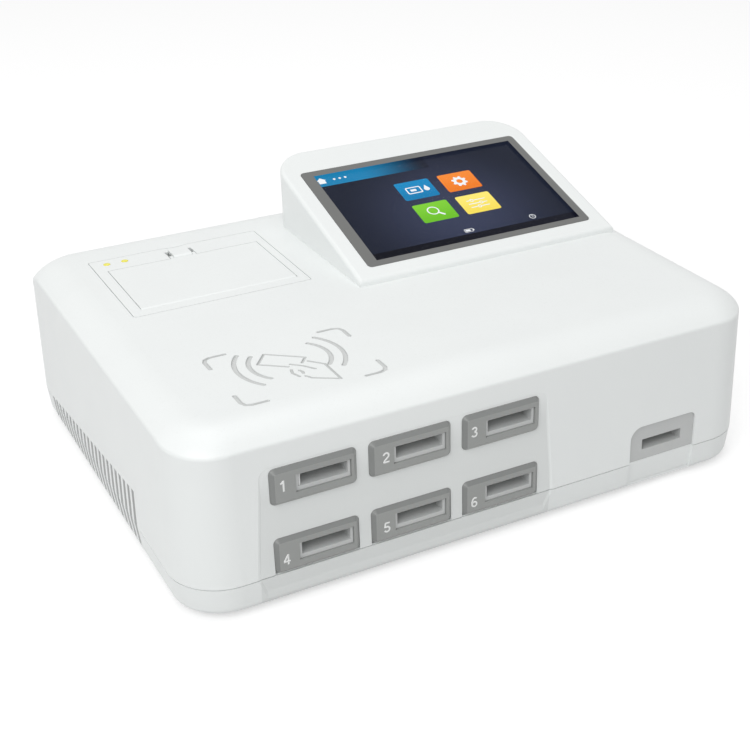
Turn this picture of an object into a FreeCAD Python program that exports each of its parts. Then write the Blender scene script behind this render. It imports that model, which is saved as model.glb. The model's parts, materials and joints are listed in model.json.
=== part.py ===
import FreeCAD, Part
import math
import os

V = FreeCAD.Vector

# Case, from the underside of the shell up
body_width = 364.0
body_depth = 294.7
base_height = 18.2
deck_height = 105.3
foot_drop = 3.0
plan_radius = 30.0
brow_radius = 31.4
brow_corner = 41.0
brow_past_front = 6.5
brow_past_side = 8.8
brow_past_rear = 1.1
brow_edge = 2.5
wall_slope = 0.022
wall = 2.8
base_inset = 2.0
base_radius = 5.0
tongue_height = 3.0
tongue_thick = 1.2
fit_gap = 0.3
seam_height = 0.6
seam_depth = 1.2
running_gap = 0.05

# Joined solids reach this far into each other, and cuts run this far past a face
overlap = 0.5
past = 1.0

# Front bays: six numbered slots in two rows, counted left to right
bay_columns = 3
bay_rows = 2
bay_pitch_x = 55.75
bay_pitch_z = 41.3
bay_from_left = 133.5
low_slot_height = 24.2
slot_width = 31.2
slot_height = 10.5
bezel_left = 13.5
bezel_right = 3.8
bezel_above = 5.0
bezel_below = 5.7
bezel_corner = 3.0
bezel_slope = 2.2
bezel_edge = 0.6
bezel_proud = 1.15
panel_depth = 0.5
panel_flare = 3.5
panel_left = 21.9
panel_right = 12.7
panel_above = 9.5
panel_corner = 9.0
seat_depth = 3.4
pad_thick = 2.6
collar_wall = 1.6
collar_length = 6.0

# Card guides behind the bays
guide_set_back = 1.2
guide_side_gap = 0.2
guide_lift = 0.1
guide_length = 79.5
guide_floor = 2.4
guide_side = 1.5
guide_roof = 0.9
guide_roof_length = 22.0
guide_stop = 2.0
spring_width = 6.0
spring_length = 22.0
spring_past_roof = 4.0
spring_thick = 0.4
plate_thick = 3.0

# Code chip port, low on the right of the front
chip_left_x = 273.0
chip_width = 46.9
chip_height = 23.2
chip_depth = 1.6
chip_thick = 3.0
chip_round_left = 8.0
chip_round_right = 4.5
chip_slot_width = 28.0
chip_slot_height = 6.8
chip_slot_from_left = 9.4
chip_slot_up = 6.8
chip_sleeve = 12.0
chip_sleeve_wall = 1.4
chip_round_foot = 0.2
chip_lip = 2.5
chip_socket_depth = 9.0
chip_socket_slit = 2.0
chip_socket_rim = 3.0

# Side vents
vent_count = 22
vent_pitch = 8.0
vent_width = 4.2
vent_front_setback = 82.0
vent_foot = 4.0
vent_top_front = 40.4
vent_top_rear = 19.0

# Screen hood
hood_from_right = 14.75
hood_width = 184.5
hood_setback = 130.65
hood_depth = 134.6
hood_lip = 3.6
hood_tilt = 16.46
hood_corner = 24.0
hood_edge = 2.5
hood_wall = 2.6
hood_skirt = 8.0
hood_min_edge = 1.0
deck_window_rim = 2.0
deck_window_front = 7.0
deck_window_back = 14.0
deck_window_corner = 12.0
glass_width = 162.0
glass_length = 104.0
glass_thick = 1.6
glass_up = 10.8
glass_corner = 3.0
window_corner = 1.0
glass_proud = 0.2
display_width = 150.8
display_length = 91.4
lcd_width = 164.9
lcd_length = 100.0
lcd_thick = 5.2
lcd_frame_gap = 0.2
bracket_thick = 1.2
bracket_margin = 5.0
post_radius = 2.6
post_inset = 2.0
post_ys = (-24.0, 36.0)
window_gap = 0.6
seat_gap = 0.1
active_gap = 0.15
bracket_shorter = 24.0
bracket_rim = 30.0
display_board_width = 100.0
display_board_length = 60.0
display_board_gap = 6.0
display_board_edge = 6.0
display_chip = 28.0
display_chip_thick = 2.0

# Printer, on the left of the deck
printer_from_left = 33.4
printer_setback = 157.15
printer_width = 110.9
printer_depth = 91.8
flange_thick = 1.8
flange_ledge = 2.9
flange_corner = 1.0
seam_gap = 0.45
skirt_wall = 2.0
skirt_depth = 12.0
tray_thick = 1.5
door_from_left = 6.7
door_from_front = 7.8
door_width = 99.0
door_depth = 65.9
door_gap = 0.45
door_play = 0.2
door_thick = 2.2
hinge_radius = 2.6
hinge_pin_radius = 1.0
hinge_pin_length = 8.0
pin_in_flange = 2.2
latch_width = 12.0
latch_reach = 9.0
latch_radius = 3.0
latch_rise = 0.9
latch_ear = 2.0
ear_radius = 2.2
ear_gap = 0.5
notch_past_ear = 7.0
latch_tab_thick = 2.0
latch_lip_radius = 1.3
latch_lip_drop = 0.7
notch_depth = 13.5
basin_depth = 7.0
basin_wall = 1.5
scoop_radius = 60.0
scoop_depth = 0.9
scoop_forward = 1.5
light_radius = 2.2
light_from_left = 9.6
light_pitch = 11.5
light_back = 7.3
light_length = 6.0
light_proud = 0.3
light_dome = 0.5
light_stem_radius = 2.0
light_board_margin = 4.0
platen_radius = 5.0
platen_length = 60.0
platen_shaft_radius = 2.0
platen_drop = 12.3
ear_past_platen = 2.0
door_ear = 2.5
door_ear_half = 4.0
shaft_past_ear = 4.0
head_above_platen = 3.0
head_below_platen = 10.0
head_half = 31.0
head_gap = 1.4
head_past_door = 9.0
head_fin_inset = 5.0
head_fin_depth = 6.0
head_fin = 1.6
head_fin_pitch = 4.0
cheek_past_ear = 3.0
cheek_thick = 1.5
cheek_half = 6.0
cheek_slot_half = 2.9
cheek_bridge = 3.0
head_post = 6.0
head_post_x = 26.0
platen_back = 9.0
roll_radius = 20.0
roll_width = 57.0
roll_core_radius = 6.0
roll_drop = 27.3
roll_back = 30.0
bucket_wall = 2.0
bucket_play = 0.5
bucket_rim = 4.0

# Scanner
rail_radius = 3.0
rail_low = 14.0
rail_front_back = 98.85
rail_spacing = 53.0
carriage_width = 44.0
carriage_thick = 12.0
upright_thick = 6.0
upright_inset = 2.0
upright_wall = 4.0
carriage_rim = 8.0
scan_rail_radius = 2.5
scan_rail_half = 14.0
scan_rail_rise = 14.0
screw_radius = 2.5
screw_past = 7.5
slide_depth = 19.0
slide_width = 37.0
scan_travel = 40.0
slide_park_gap = 1.0
slide_end_gap = 4.0
front_reach = 13.0
head_width = 24.0
head_depth = 30.0
head_height = 16.0
head_clear = 1.5
lens_radius = 4.0
lens_thick = 3.5
lens_sink = 0.5
head_past_guide = 5.0
arm_width = 12.0
arm_rise = 5.0
arm_drop = 3.0
mast_drop = 2.0
mast_thick = 6.0
slide_half_height = 6.0
frame_gap = 5.0
frame_thick = 3.0
frame_top = 6.0
frame_behind_rail = 12.0
frame_foot_width = 12.0
frame_foot_thick = 2.0
frame_window_back = 8.0
frame_window_up = 10.0
frame_window_drop = 12.0
pulley_radius = 6.366
belt_thick = 1.2
belt_width = 6.0
idler_past_frame = 20.0
drive_past_frame = 40.0
pulley_rim = 1.5
pulley_flange = 1.0
pulley_side_gap = 0.4
idler_pin_radius = 2.0
idler_foot_radius = 5.0
idler_pin_past = 2.2
drive_shaft_radius = 2.5
drive_shaft_reach = 4.0
motor_above_belt = 6.0
bracket_sheet = 2.0
bracket_leg = 3.0
bracket_gap = 1.0
bracket_hole_radius = 6.0
belt_back = 172.85
belt_above_floor = 3.4
clamp_half = 9.0
clamp_past_belt = 4.0
clamp_below = 1.5
clamp_above = 3.0
motor_size = 42.0
motor_height = 34.0
scan_motor_size = 20.0
scan_motor_length = 24.0
scan_motor_gap = 0.5
scan_motor_arm = 4.0

# Boards, power and rear connectors
board_thick = 1.6
board_corner = 2.0
standoff_radius = 3.0
standoff_height = 6.0
reader_width = 80.0
reader_depth = 62.0
reader_setback = 28.5
reader_drop = 2.0
reader_from_mid = 44.475
board_hole_edge = 4.5

# Contactless card sign, sunk in the deck over its reader
symbol_width = 82.0
symbol_depth = 60.5
symbol_forward = 2.5
symbol_arm = 13.0
symbol_corner = 4.5
symbol_line = 2.2
symbol_fine_line = 1.5
symbol_arc_line = 2.5
symbol_cut = 1.0
symbol_soft = 0.35
symbol_arc_back = 6.0
symbol_arcs = [(30.0, 29.7, 40.0), (22.4, 21.3, 42.0)]
card_turn = 37.8
card_corner_x = 8.8
card_corner_y = 5.5
card_length = 23.0
card_height = 12.5

# Main board and power supply; each part on them is x, width, y, depth, height from their corner
main_width = 112.0
main_depth = 92.0
main_past_frame = 16.0
main_setback = 36.0
main_parts = [(34, 26, 30, 26, 3), (74, 14, 34, 20, 2), (8, 8, 12, 60, 9), (30, 50, 80, 7, 9),
              (92, 12, 10, 12, 11), (92, 12, 60, 16, 7)]
supply_width = 92.0
supply_depth = 66.0
supply_height = 34.0
supply_from_right = 38.0
supply_from_rear = 20.0
supply_sheet = 1.2
supply_base = 4.0
supply_margin = 10.0
supply_slots = 9
supply_slot = 3.0
supply_slot_pitch = 8.0
supply_parts = [(10, 28, 10, 26, 24), (48, 30, 14, 16, 20)]

# Rear panel with its power inlet, switch and data sockets
rear_panel_width = 104.0
rear_panel_height = 48.0
rear_panel_thick = 1.5
rear_panel_from_right = 34.0
rear_panel_up = 24.0
rear_panel_rim = 4.0
rear_corner = 3.0
rear_pad = 0.8
inlet_width = 27.0
inlet_height = 20.0
inlet_depth = 22.0
inlet_proud = 2.5
inlet_rim = 2.0
inlet_wall = 1.5
inlet_wall_high = 2.0
inlet_well = 14.0
inlet_from_edge = 20.0
well_corner = 1.0
well_slant = 4.0
blade_thick = 2.0
blade_pitch = 7.0
blade_low = 2.0
blade_high = 5.0
blade_sink = 2.0
switch_width = 13.0
switch_depth = 12.0
switch_proud = 2.0
switch_rim = 1.2
switch_wall = 1.6
switch_floor = 2.0
inlet_to_rocker = 29.0
rocker_half_x = 4.8
rocker_sink = 4.0
rocker_below = 3.0
rocker_above = 6.0
rocker_foot = 5.5
rocker_tip = 7.3
rocker_valley = 1.4
rocker_axle = 1.0
rocker_rest = 9.0
rocker_to_lan = 22.0
socket_depth = 14.0
socket_proud = 1.0
socket_well = 11.0
lan_width = 16.0
lan_height = 14.0
lan_plug_half = 6.0
lan_plug_low = 5.0
lan_plug_height = 8.0
lan_latch_half = 3.0
lan_latch_height = 2.5
lan_to_usb = 18.0
usb_width = 14.5
usb_height = 7.0
usb_wall = 0.7
usb_tongue = 1.8
usb_tongue_up = 0.4
usb_tongue_sink = 1.0

# Fan and its grille
fan_size = 60.0
fan_thick = 15.0
fan_from_left = 82.0
fan_up = 22.0
fan_corner = 4.0
fan_hub_radius = 12.0
fan_blade_radius = 26.0
fan_tip_gap = 2.0
fan_plate = 2.0
fan_strut = 3.0
fan_pin_radius = 1.5
fan_pin_short = 4.0
fan_rotor_short = 1.2
fan_blades = 7
fan_blade_thick = 1.4
fan_blade_pitch = 42.0
grille_half_count = 4
grille_pitch = 6.0
grille_slot = 3.6

# Feet and case screws
foot_radius = 9.0
foot_inset = 40.0
foot_recess = 0.8
case_post_inset_x = 24.0
case_post_inset_y = 27.0
case_post_radius = 5.0
case_screw_radius = 1.65
case_screw_head = 3.5
case_screw_grip = 12.0
case_head_sink = 0.6
case_bore = 3.0
case_hole_gap = 0.2
tongue_gap = 36.0

# Places worked out from the sizes above
left_x = -body_width / 2
right_x = body_width / 2
front_y = bezel_proud / 2 - body_depth / 2
rear_y = front_y + body_depth
shell_z = foot_drop
part_z = shell_z + base_height
deck_z = shell_z + deck_height
floor_z = shell_z + wall
ceiling_z = deck_z - wall
bezel_y = front_y - bezel_proud
seat_y = front_y + seat_depth
pad_y = seat_y + pad_thick
mid_x = left_x + bay_from_left
low_slot_z = shell_z + low_slot_height
guide_y = bezel_y + guide_set_back
guide_end_y = guide_y + guide_length
guide_top_rise = slot_height - 2 * guide_lift


def box(x0, x1, y0, y1, z0, z1):
    return Part.makeBox(x1 - x0, y1 - y0, z1 - z0, V(x0, y0, z0))


def rod_x(x0, x1, y, z, radius):
    return Part.makeCylinder(radius, x1 - x0, V(x0, y, z), V(1, 0, 0))


def rod_y(x, y0, y1, z, radius):
    return Part.makeCylinder(radius, y1 - y0, V(x, y0, z), V(0, 1, 0))


def rod_z(x, y, z0, z1, radius):
    return Part.makeCylinder(radius, z1 - z0, V(x, y, z0), V(0, 0, 1))


def join(shapes):
    return shapes[0].fuse(shapes[1:]).removeSplitter()


def rounded_wire(a0, a1, b0, b1, radii, place):
    """Rounded rectangle; radii run from the low-low corner anticlockwise."""
    corners = [(a0, b0, 1, 1, 180), (a1, b0, -1, 1, 270), (a1, b1, -1, -1, 0), (a0, b1, 1, -1, 90)]
    edges = []
    ends = []
    for (a, b, sa, sb, start), radius in zip(corners, radii):
        ca = a + sa * radius
        cb = b + sb * radius
        points = []
        for step in range(3):
            angle = math.radians(start + 45 * step)
            points.append(place(ca + radius * math.cos(angle), cb + radius * math.sin(angle)))
        ends.append((points[0], points[2]))
        edges.append(Part.Arc(points[0], points[1], points[2]).toShape())
    for index in range(4):
        edges.append(Part.LineSegment(ends[index][1], ends[(index + 1) % 4][0]).toShape())
    return Part.Wire(Part.__sortEdges__(edges))


def plan_plate(x0, x1, y0, y1, z0, z1, radius):
    wire = rounded_wire(x0, x1, y0, y1, [radius] * 4, lambda a, b: V(a, b, z0))
    return Part.Face(wire).extrude(V(0, 0, z1 - z0))


def front_plate(x0, x1, z0, z1, y0, y1, radii):
    wire = rounded_wire(x0, x1, z0, z1, radii, lambda a, b: V(a, y0, b))
    return Part.Face(wire).extrude(V(0, y1 - y0, 0))


def edges_at(shape, test):
    return [edge for edge in shape.Edges if all(test(vertex.Point) for vertex in edge.Vertexes)]


def drafted_block(inset, z0, z1, low_inset, high_inset):
    def ring(extra, z):
        grow = inset + extra
        corner = plan_radius - grow
        return rounded_wire(left_x + grow, right_x - grow, front_y + grow, rear_y - grow,
                            [corner] * 4, lambda a, b: V(a, b, z))
    return Part.makeLoft([ring(low_inset, z0), ring(high_inset, z1)], True, True)


def upper_block(inset):
    """Drafted walls; the deck rolls down to them and meets them at a soft crease."""
    top = deck_z - inset
    block = drafted_block(inset, part_z, top, 0, wall_slope * (top - part_z))
    side = brow_past_side - inset
    pillow = plan_plate(left_x - side, right_x + side, front_y - brow_past_front + inset,
                        rear_y + brow_past_rear - inset, part_z - past, top, brow_corner - inset)
    rim = edges_at(pillow, lambda point: abs(point.z - top) < 1e-6)
    block = block.common(pillow.makeFillet(brow_radius - inset, rim))
    if inset > 0:
        return block
    crease = edges_at(block, lambda point: part_z + past < point.z < top - past)
    return block.makeFillet(brow_edge, crease)


def lower_block(inset):
    bottom = shell_z + inset
    block = drafted_block(inset, bottom, part_z, base_inset, 0)
    rim = edges_at(block, lambda point: abs(point.z - bottom) < 1e-6)
    return block.makeFillet(base_radius - inset, rim)


# Front bays

def bay_place(number):
    column = (number - 1) % bay_columns
    row = bay_rows - 1 - (number - 1) // bay_columns
    centre = mid_x + (column - 1) * bay_pitch_x
    return centre - slot_width / 2, low_slot_z + row * bay_pitch_z


bay_numbers = range(1, bay_columns * bay_rows + 1)
panel_x0 = bay_place(1)[0] - panel_left
panel_x1 = bay_place(bay_columns)[0] + slot_width + panel_right
panel_top = bay_place(1)[1] + slot_height + panel_above


def on_bezel_face(point):
    return abs(point.y - bezel_y) < 1e-6


def bay_bezel(number):
    x, z = bay_place(number)
    plate = front_plate(x - bezel_left, x + slot_width + bezel_right, z - bezel_below,
                        z + slot_height + bezel_above, bezel_y, seat_y, [bezel_corner] * 4)
    plate = plate.makeChamfer(bezel_slope, edges_at(plate, on_bezel_face))
    plate = plate.makeFillet(bezel_edge, edges_at(plate, on_bezel_face))
    grow = collar_wall
    collar = box(x - grow, x + slot_width + grow, seat_y - overlap, seat_y + collar_length,
                 z - grow, z + slot_height + grow)
    opening = box(x, x + slot_width, bezel_y - past, seat_y + collar_length + past, z, z + slot_height)
    return join([plate, collar]).cut(opening)


def bay_hole(number):
    x, z = bay_place(number)
    grow = collar_wall + fit_gap
    hole = box(x - grow, x + slot_width + grow, bezel_y, pad_y + past, z - grow, z + slot_height + grow)
    grow = fit_gap / 2
    corner = bezel_corner + grow
    low = z - bezel_below - grow
    if low - part_z < corner:
        # the low row's pockets run out at the joint of the housings
        low = part_z - corner - past
    pocket = front_plate(x - bezel_left - grow, x + slot_width + bezel_right + grow, low,
                         z + slot_height + bezel_above + grow, bezel_y, seat_y, [corner] * 4)
    return [hole, pocket]


def card_guide(number):
    x, z = bay_place(number)
    x0 = x + guide_side_gap
    x1 = x + slot_width - guide_side_gap
    low = z + guide_lift
    body = box(x0, x1, guide_y, guide_end_y, low, low + guide_top_rise)
    channel = box(x0 + guide_side, x1 - guide_side, guide_y - past, guide_end_y - guide_stop,
                  low + guide_floor, low + guide_top_rise - guide_roof)
    window = box(x0 + guide_side, x1 - guide_side, guide_y + guide_roof_length,
                 guide_end_y - guide_stop, low + guide_floor, low + guide_top_rise + past)
    return body.cut([channel, window])


def cassette_springs():
    leaves = []
    for number in bay_numbers:
        x, z = bay_place(number)
        top = z + guide_lift + guide_top_rise
        middle = x + slot_width / 2
        end = guide_y + guide_roof_length + spring_past_roof
        start = max(end - spring_length, seat_y + collar_length + past)
        half = spring_width / 2
        leaf = box(middle - half, middle + half, start, end, top, top + spring_thick)
        tip = box(middle - half, middle + half, end - spring_thick, end, top - guide_roof, top)
        leaves.append(join([leaf, tip]))
    return Part.Compound(leaves)


# Frame that carries the guides and the scanner

frame_x0 = bay_place(1)[0] + slot_width / 2 - carriage_width / 2 - frame_gap
frame_x1 = bay_place(bay_columns)[0] + slot_width / 2 + carriage_width / 2 + frame_gap
rail_z = shell_z + rail_low
rail_y0 = front_y + rail_front_back
rail_y1 = rail_y0 + rail_spacing
frame_y0 = pad_y + collar_length
frame_y1 = rail_y1 + frame_behind_rail
row_z = [low_slot_z + guide_lift + row * bay_pitch_z for row in range(bay_rows)]


def frame_plate(inner_x, outward):
    x0 = min(inner_x, inner_x + outward * frame_thick)
    plate = box(x0, x0 + frame_thick, frame_y0, frame_y1, floor_z, row_z[-1] + frame_top)
    foot_x = inner_x + outward * frame_foot_width
    foot = box(min(inner_x, foot_x), max(inner_x, foot_x), frame_y0, frame_y1,
               floor_z, floor_z + frame_foot_thick)
    plate = join([plate, foot])
    holes = []
    for y in (rail_y0, rail_y1):
        holes.append(rod_x(x0 - past, x0 + frame_thick + past, y, rail_z, rail_radius))
    window = box(x0 - past, x0 + frame_thick + past, guide_end_y, rail_y1 - frame_window_back,
                 rail_z + frame_window_up, row_z[-1] - frame_window_drop)
    return plate.cut(holes + [window])


def incubator_plate(row):
    top = row_z[row]
    return box(frame_x0, frame_x1, frame_y0, guide_end_y, top - plate_thick, top)


def cross_rails():
    x0 = frame_x0 - frame_thick
    x1 = frame_x1 + frame_thick
    return Part.Compound([rod_x(x0, x1, y, rail_z, rail_radius) for y in (rail_y0, rail_y1)])


# Carriage that crosses the bays, and the head slide on it

carriage_length = scan_travel + slide_depth + 2 * upright_thick + slide_park_gap + slide_end_gap
front_upright_y = rail_y0 - front_reach
carriage_y1 = front_upright_y + carriage_length
carriage_z0 = rail_z - carriage_thick / 2
carriage_z1 = rail_z + carriage_thick / 2
scan_z = rail_z + scan_rail_rise
scan_rail_xs = (mid_x - scan_rail_half, mid_x + scan_rail_half)
belt_y = front_y + belt_back
belt_front_y = belt_y - pulley_radius
belt_z0 = floor_z + belt_above_floor
belt_z1 = belt_z0 + belt_width


def carriage():
    half = carriage_width / 2
    base = box(mid_x - half, mid_x + half, front_upright_y, carriage_y1, carriage_z0, carriage_z1)
    side = half - upright_inset
    top = scan_z + scan_rail_radius + upright_wall
    front = box(mid_x - side, mid_x + side, front_upright_y, front_upright_y + upright_thick,
                carriage_z1, top)
    rear = box(mid_x - side, mid_x + side, carriage_y1 - upright_thick, carriage_y1, carriage_z1, top)
    body = join([base, front, rear])
    y0 = front_upright_y - past
    y1 = carriage_y1 + past
    cuts = [rod_x(mid_x - half - past, mid_x + half + past, y, rail_z, rail_radius + running_gap)
            for y in (rail_y0, rail_y1)]
    cuts += [rod_y(x, y0, y1, scan_z, scan_rail_radius) for x in scan_rail_xs]
    cuts.append(rod_y(mid_x, y0, y1, scan_z, screw_radius + running_gap))
    side = half - carriage_rim
    cuts.append(box(mid_x - side, mid_x + side, rail_y0 + carriage_rim, rail_y1 - carriage_rim,
                    carriage_z0 - past, carriage_z1 + past))
    return body.cut(cuts)


def belt_clamp():
    block = box(mid_x - clamp_half, mid_x + clamp_half, carriage_y1, belt_front_y + clamp_past_belt,
                belt_z0 - clamp_below, belt_z1 + clamp_above)
    half = clamp_half + past
    reach = belt_thick / 2 + fit_gap
    slit = box(mid_x - half, mid_x + half, belt_front_y - reach, belt_front_y + reach,
               belt_z0 - fit_gap, belt_z1 + clamp_above + past)
    return block.cut(slit)


def scan_rails():
    return Part.Compound([rod_y(x, front_upright_y, carriage_y1, scan_z, scan_rail_radius)
                          for x in scan_rail_xs])


slide_y1 = carriage_y1 - upright_thick - slide_park_gap
slide_y0 = slide_y1 - slide_depth
head_y1 = guide_end_y + head_past_guide
head_y0 = head_y1 - head_depth
head_zs = [z + guide_top_rise + head_clear for z in row_z]


def scan_slide():
    half = slide_width / 2
    mast_y = slide_y1 - mast_thick
    block = box(mid_x - half, mid_x + half, slide_y0, slide_y1, scan_z - slide_half_height,
                scan_z + slide_half_height)
    mast = box(mid_x - arm_width, mid_x + arm_width, mast_y, slide_y1, scan_z + slide_half_height,
               head_zs[-1] + head_height - mast_drop)
    arms = [box(mid_x - arm_width / 2, mid_x + arm_width / 2, head_y1, mast_y,
                z + arm_rise, z + head_height - arm_drop) for z in head_zs]
    body = join([block, mast] + arms)
    y0 = slide_y0 - past
    y1 = slide_y1 + past
    cuts = [rod_y(x, y0, y1, scan_z, scan_rail_radius + running_gap) for x in scan_rail_xs]
    cuts.append(rod_y(mid_x, y0, y1, scan_z, screw_radius + running_gap))
    return body.cut(cuts)


def optical_head(row):
    z = head_zs[row]
    block = box(mid_x - head_width / 2, mid_x + head_width / 2, head_y0, head_y1, z, z + head_height)
    middle = (head_y0 + head_y1) / 2
    well = rod_z(mid_x, middle, z - past, z + lens_sink + lens_thick, lens_radius)
    return block.cut(well)


def head_lenses():
    middle = (head_y0 + head_y1) / 2
    return Part.Compound([rod_z(mid_x, middle, z + lens_sink, z + lens_sink + lens_thick, lens_radius)
                          for z in head_zs])


screw_y1 = carriage_y1 + screw_past


def lead_screw():
    return rod_y(mid_x, front_upright_y, screw_y1, scan_z, screw_radius)


def scan_motor():
    half = scan_motor_size / 2
    y0 = screw_y1 + scan_motor_gap
    body = box(mid_x - half, mid_x + half, y0, y0 + scan_motor_length, scan_z - half, scan_z + half)
    arm = scan_motor_arm
    arms = [box(x, x + arm, carriage_y1, y0, scan_z - arm, scan_z + arm)
            for x in (mid_x - half, mid_x + half - arm)]
    return join([body] + arms)


idler_x = frame_x0 - frame_thick - idler_past_frame
drive_x = frame_x1 + frame_thick + drive_past_frame


def stadium(radius, z0, z1):
    ends = [rod_z(x, belt_y, z0, z1, radius) for x in (idler_x, drive_x)]
    return join(ends + [box(idler_x, drive_x, belt_y - radius, belt_y + radius, z0, z1)])


def drive_belt():
    outer = stadium(pulley_radius + belt_thick / 2, belt_z0, belt_z1)
    return outer.cut(stadium(pulley_radius - belt_thick / 2, belt_z0 - past, belt_z1 + past))


flange_z0 = belt_z0 - pulley_side_gap - pulley_flange
flange_z1 = belt_z1 + pulley_side_gap + pulley_flange
motor_z0 = belt_z1 + motor_above_belt


def toothed_pulley(x):
    drum = rod_z(x, belt_y, flange_z0, flange_z1, pulley_radius - belt_thick / 2 - fit_gap)
    low = rod_z(x, belt_y, flange_z0, flange_z0 + pulley_flange, pulley_radius + pulley_rim)
    high = rod_z(x, belt_y, flange_z1 - pulley_flange, flange_z1, pulley_radius + pulley_rim)
    return join([drum, low, high])


def drive_pulley():
    shaft = rod_z(drive_x, belt_y, flange_z0, motor_z0 + drive_shaft_reach, drive_shaft_radius)
    return join([toothed_pulley(drive_x), shaft])


def idler_pulley():
    bore = rod_z(idler_x, belt_y, flange_z0 - past, flange_z1 + past, idler_pin_radius + running_gap)
    return toothed_pulley(idler_x).cut(bore)


def idler_post():
    foot = rod_z(idler_x, belt_y, floor_z, flange_z0 - fit_gap, idler_foot_radius)
    pin = rod_z(idler_x, belt_y, floor_z, belt_z1 + idler_pin_past, idler_pin_radius)
    return join([foot, pin])


def drive_motor():
    half = motor_size / 2
    body = box(drive_x - half, drive_x + half, belt_y - half, belt_y + half, motor_z0,
               motor_z0 + motor_height)
    return body.cut(rod_z(drive_x, belt_y, motor_z0 - past, motor_z0 + drive_shaft_reach + past,
                          drive_shaft_radius + running_gap))


def motor_bracket():
    half = motor_size / 2
    leg_y = belt_y + half + bracket_gap
    leg_y1 = leg_y + bracket_leg
    plate = box(drive_x - half, drive_x + half, belt_y - half, leg_y1, motor_z0 - bracket_sheet, motor_z0)
    leg = box(drive_x - half, drive_x + half, leg_y, leg_y1, floor_z, motor_z0 - overlap)
    hole = rod_z(drive_x, belt_y, motor_z0 - bracket_sheet - past, motor_z0 + past, bracket_hole_radius)
    return join([plate, leg]).cut(hole)


# Screen hood; face parts are drawn flat, then tilted about the hood's front edge

hood_x1 = right_x - hood_from_right
hood_x0 = hood_x1 - hood_width
hood_mid_x = (hood_x0 + hood_x1) / 2
hood_y0 = front_y + hood_setback
hood_y1 = hood_y0 + hood_depth
hood_foot_z = deck_z - hood_skirt
face_slope = math.tan(math.radians(hood_tilt))
face_scale = math.cos(math.radians(hood_tilt))
lcd_top = -hood_wall - lcd_frame_gap
lcd_base = lcd_top - lcd_thick
display_mid = glass_up + glass_length / 2
post_half = lcd_width / 2 + bracket_margin - post_inset
bracket_top = lcd_base - lcd_frame_gap


def tilt(shape):
    shape.rotate(V(0, 0, 0), V(1, 0, 0), hood_tilt)
    shape.translate(V(hood_mid_x, hood_y0, deck_z + hood_lip))
    return shape


def face_plate(width, length, low, high, radius):
    return plan_plate(-width / 2, width / 2, display_mid - length / 2, display_mid + length / 2,
                      low, high, radius)


def hood_block(inset, foot):
    def face_z(y):
        return deck_z + hood_lip + (y - hood_y0) * face_slope - inset / face_scale
    y0 = hood_y0 + inset
    y1 = hood_y1 - inset
    corners = [V(hood_x0 + inset, y0, foot), V(hood_x0 + inset, y1, foot),
               V(hood_x0 + inset, y1, face_z(y1)), V(hood_x0 + inset, y0, face_z(y0))]
    side = Part.Face(Part.makePolygon(corners + corners[:1]))
    block = side.extrude(V(hood_width - 2 * inset, 0, 0))
    rear = [edge for edge in edges_at(block, lambda point: abs(point.y - y1) < 1e-6)
            if abs(edge.Vertexes[0].Point.x - edge.Vertexes[1].Point.x) < 1e-6]
    block = block.makeFillet(hood_corner - inset, rear)
    rim = edges_at(block, lambda point: abs(point.z - face_z(point.y)) < 1e-6)
    return block.makeFillet(max(hood_edge - inset / 2, hood_min_edge), rim)


def screen_hood(case_outside):
    shell = hood_block(0, hood_foot_z).cut(case_outside)
    shell = shell.cut(hood_block(hood_wall, hood_foot_z - past))
    seat = tilt(face_plate(glass_width + fit_gap, glass_length + fit_gap,
                           glass_proud - glass_thick - seat_gap, hood_wall, glass_corner))
    window = tilt(face_plate(display_width + 2 * window_gap, display_length + 2 * window_gap,
                             -hood_wall - past, hood_wall, window_corner))
    shell = shell.cut([seat, window])
    posts = [tilt(rod_z(x, display_mid + y, bracket_top, overlap - hood_wall, post_radius))
             for x in (-post_half, post_half) for y in post_ys]
    return join([shell] + posts)


def touch_glass():
    return tilt(face_plate(glass_width, glass_length, glass_proud - glass_thick, glass_proud, glass_corner))


def lcd_module():
    can = face_plate(lcd_width, lcd_length, lcd_base, lcd_top, window_corner)
    active = face_plate(display_width, display_length, lcd_top - overlap,
                        glass_proud - glass_thick - active_gap, window_corner / 2)
    return tilt(join([can, active]))


def lcd_bracket():
    width = 2 * post_half + 2 * post_radius
    plate = face_plate(width, lcd_length - bracket_shorter, bracket_top - bracket_thick, bracket_top,
                       board_corner)
    window = face_plate(width - 2 * bracket_rim, lcd_length - 2 * bracket_rim,
                        bracket_top - bracket_thick - past, bracket_top + past, board_corner)
    return tilt(plate.cut(window))


def display_board():
    top = bracket_top - bracket_thick - display_board_gap
    low = top - board_thick
    board = face_plate(display_board_width, display_board_length, low, top, board_corner)
    spacer_x = display_board_width / 2 - display_board_edge
    spacer_y = display_board_length / 2 - display_board_edge
    spacers = [rod_z(x, display_mid + y, top, top + display_board_gap, standoff_radius)
               for x in (-spacer_x, spacer_x) for y in (-spacer_y, spacer_y)]
    half = display_chip / 2
    chip = box(-half, half, display_mid - half, display_mid + half, low - display_chip_thick, low)
    return tilt(join([board, chip] + spacers))


deck_window = (hood_x0 + hood_wall + deck_window_rim, hood_x1 - hood_wall - deck_window_rim,
               hood_y0 + deck_window_front, hood_y1 - deck_window_back)


# Printer: flange and bucket in the deck, a door hinged along its front edge

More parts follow.
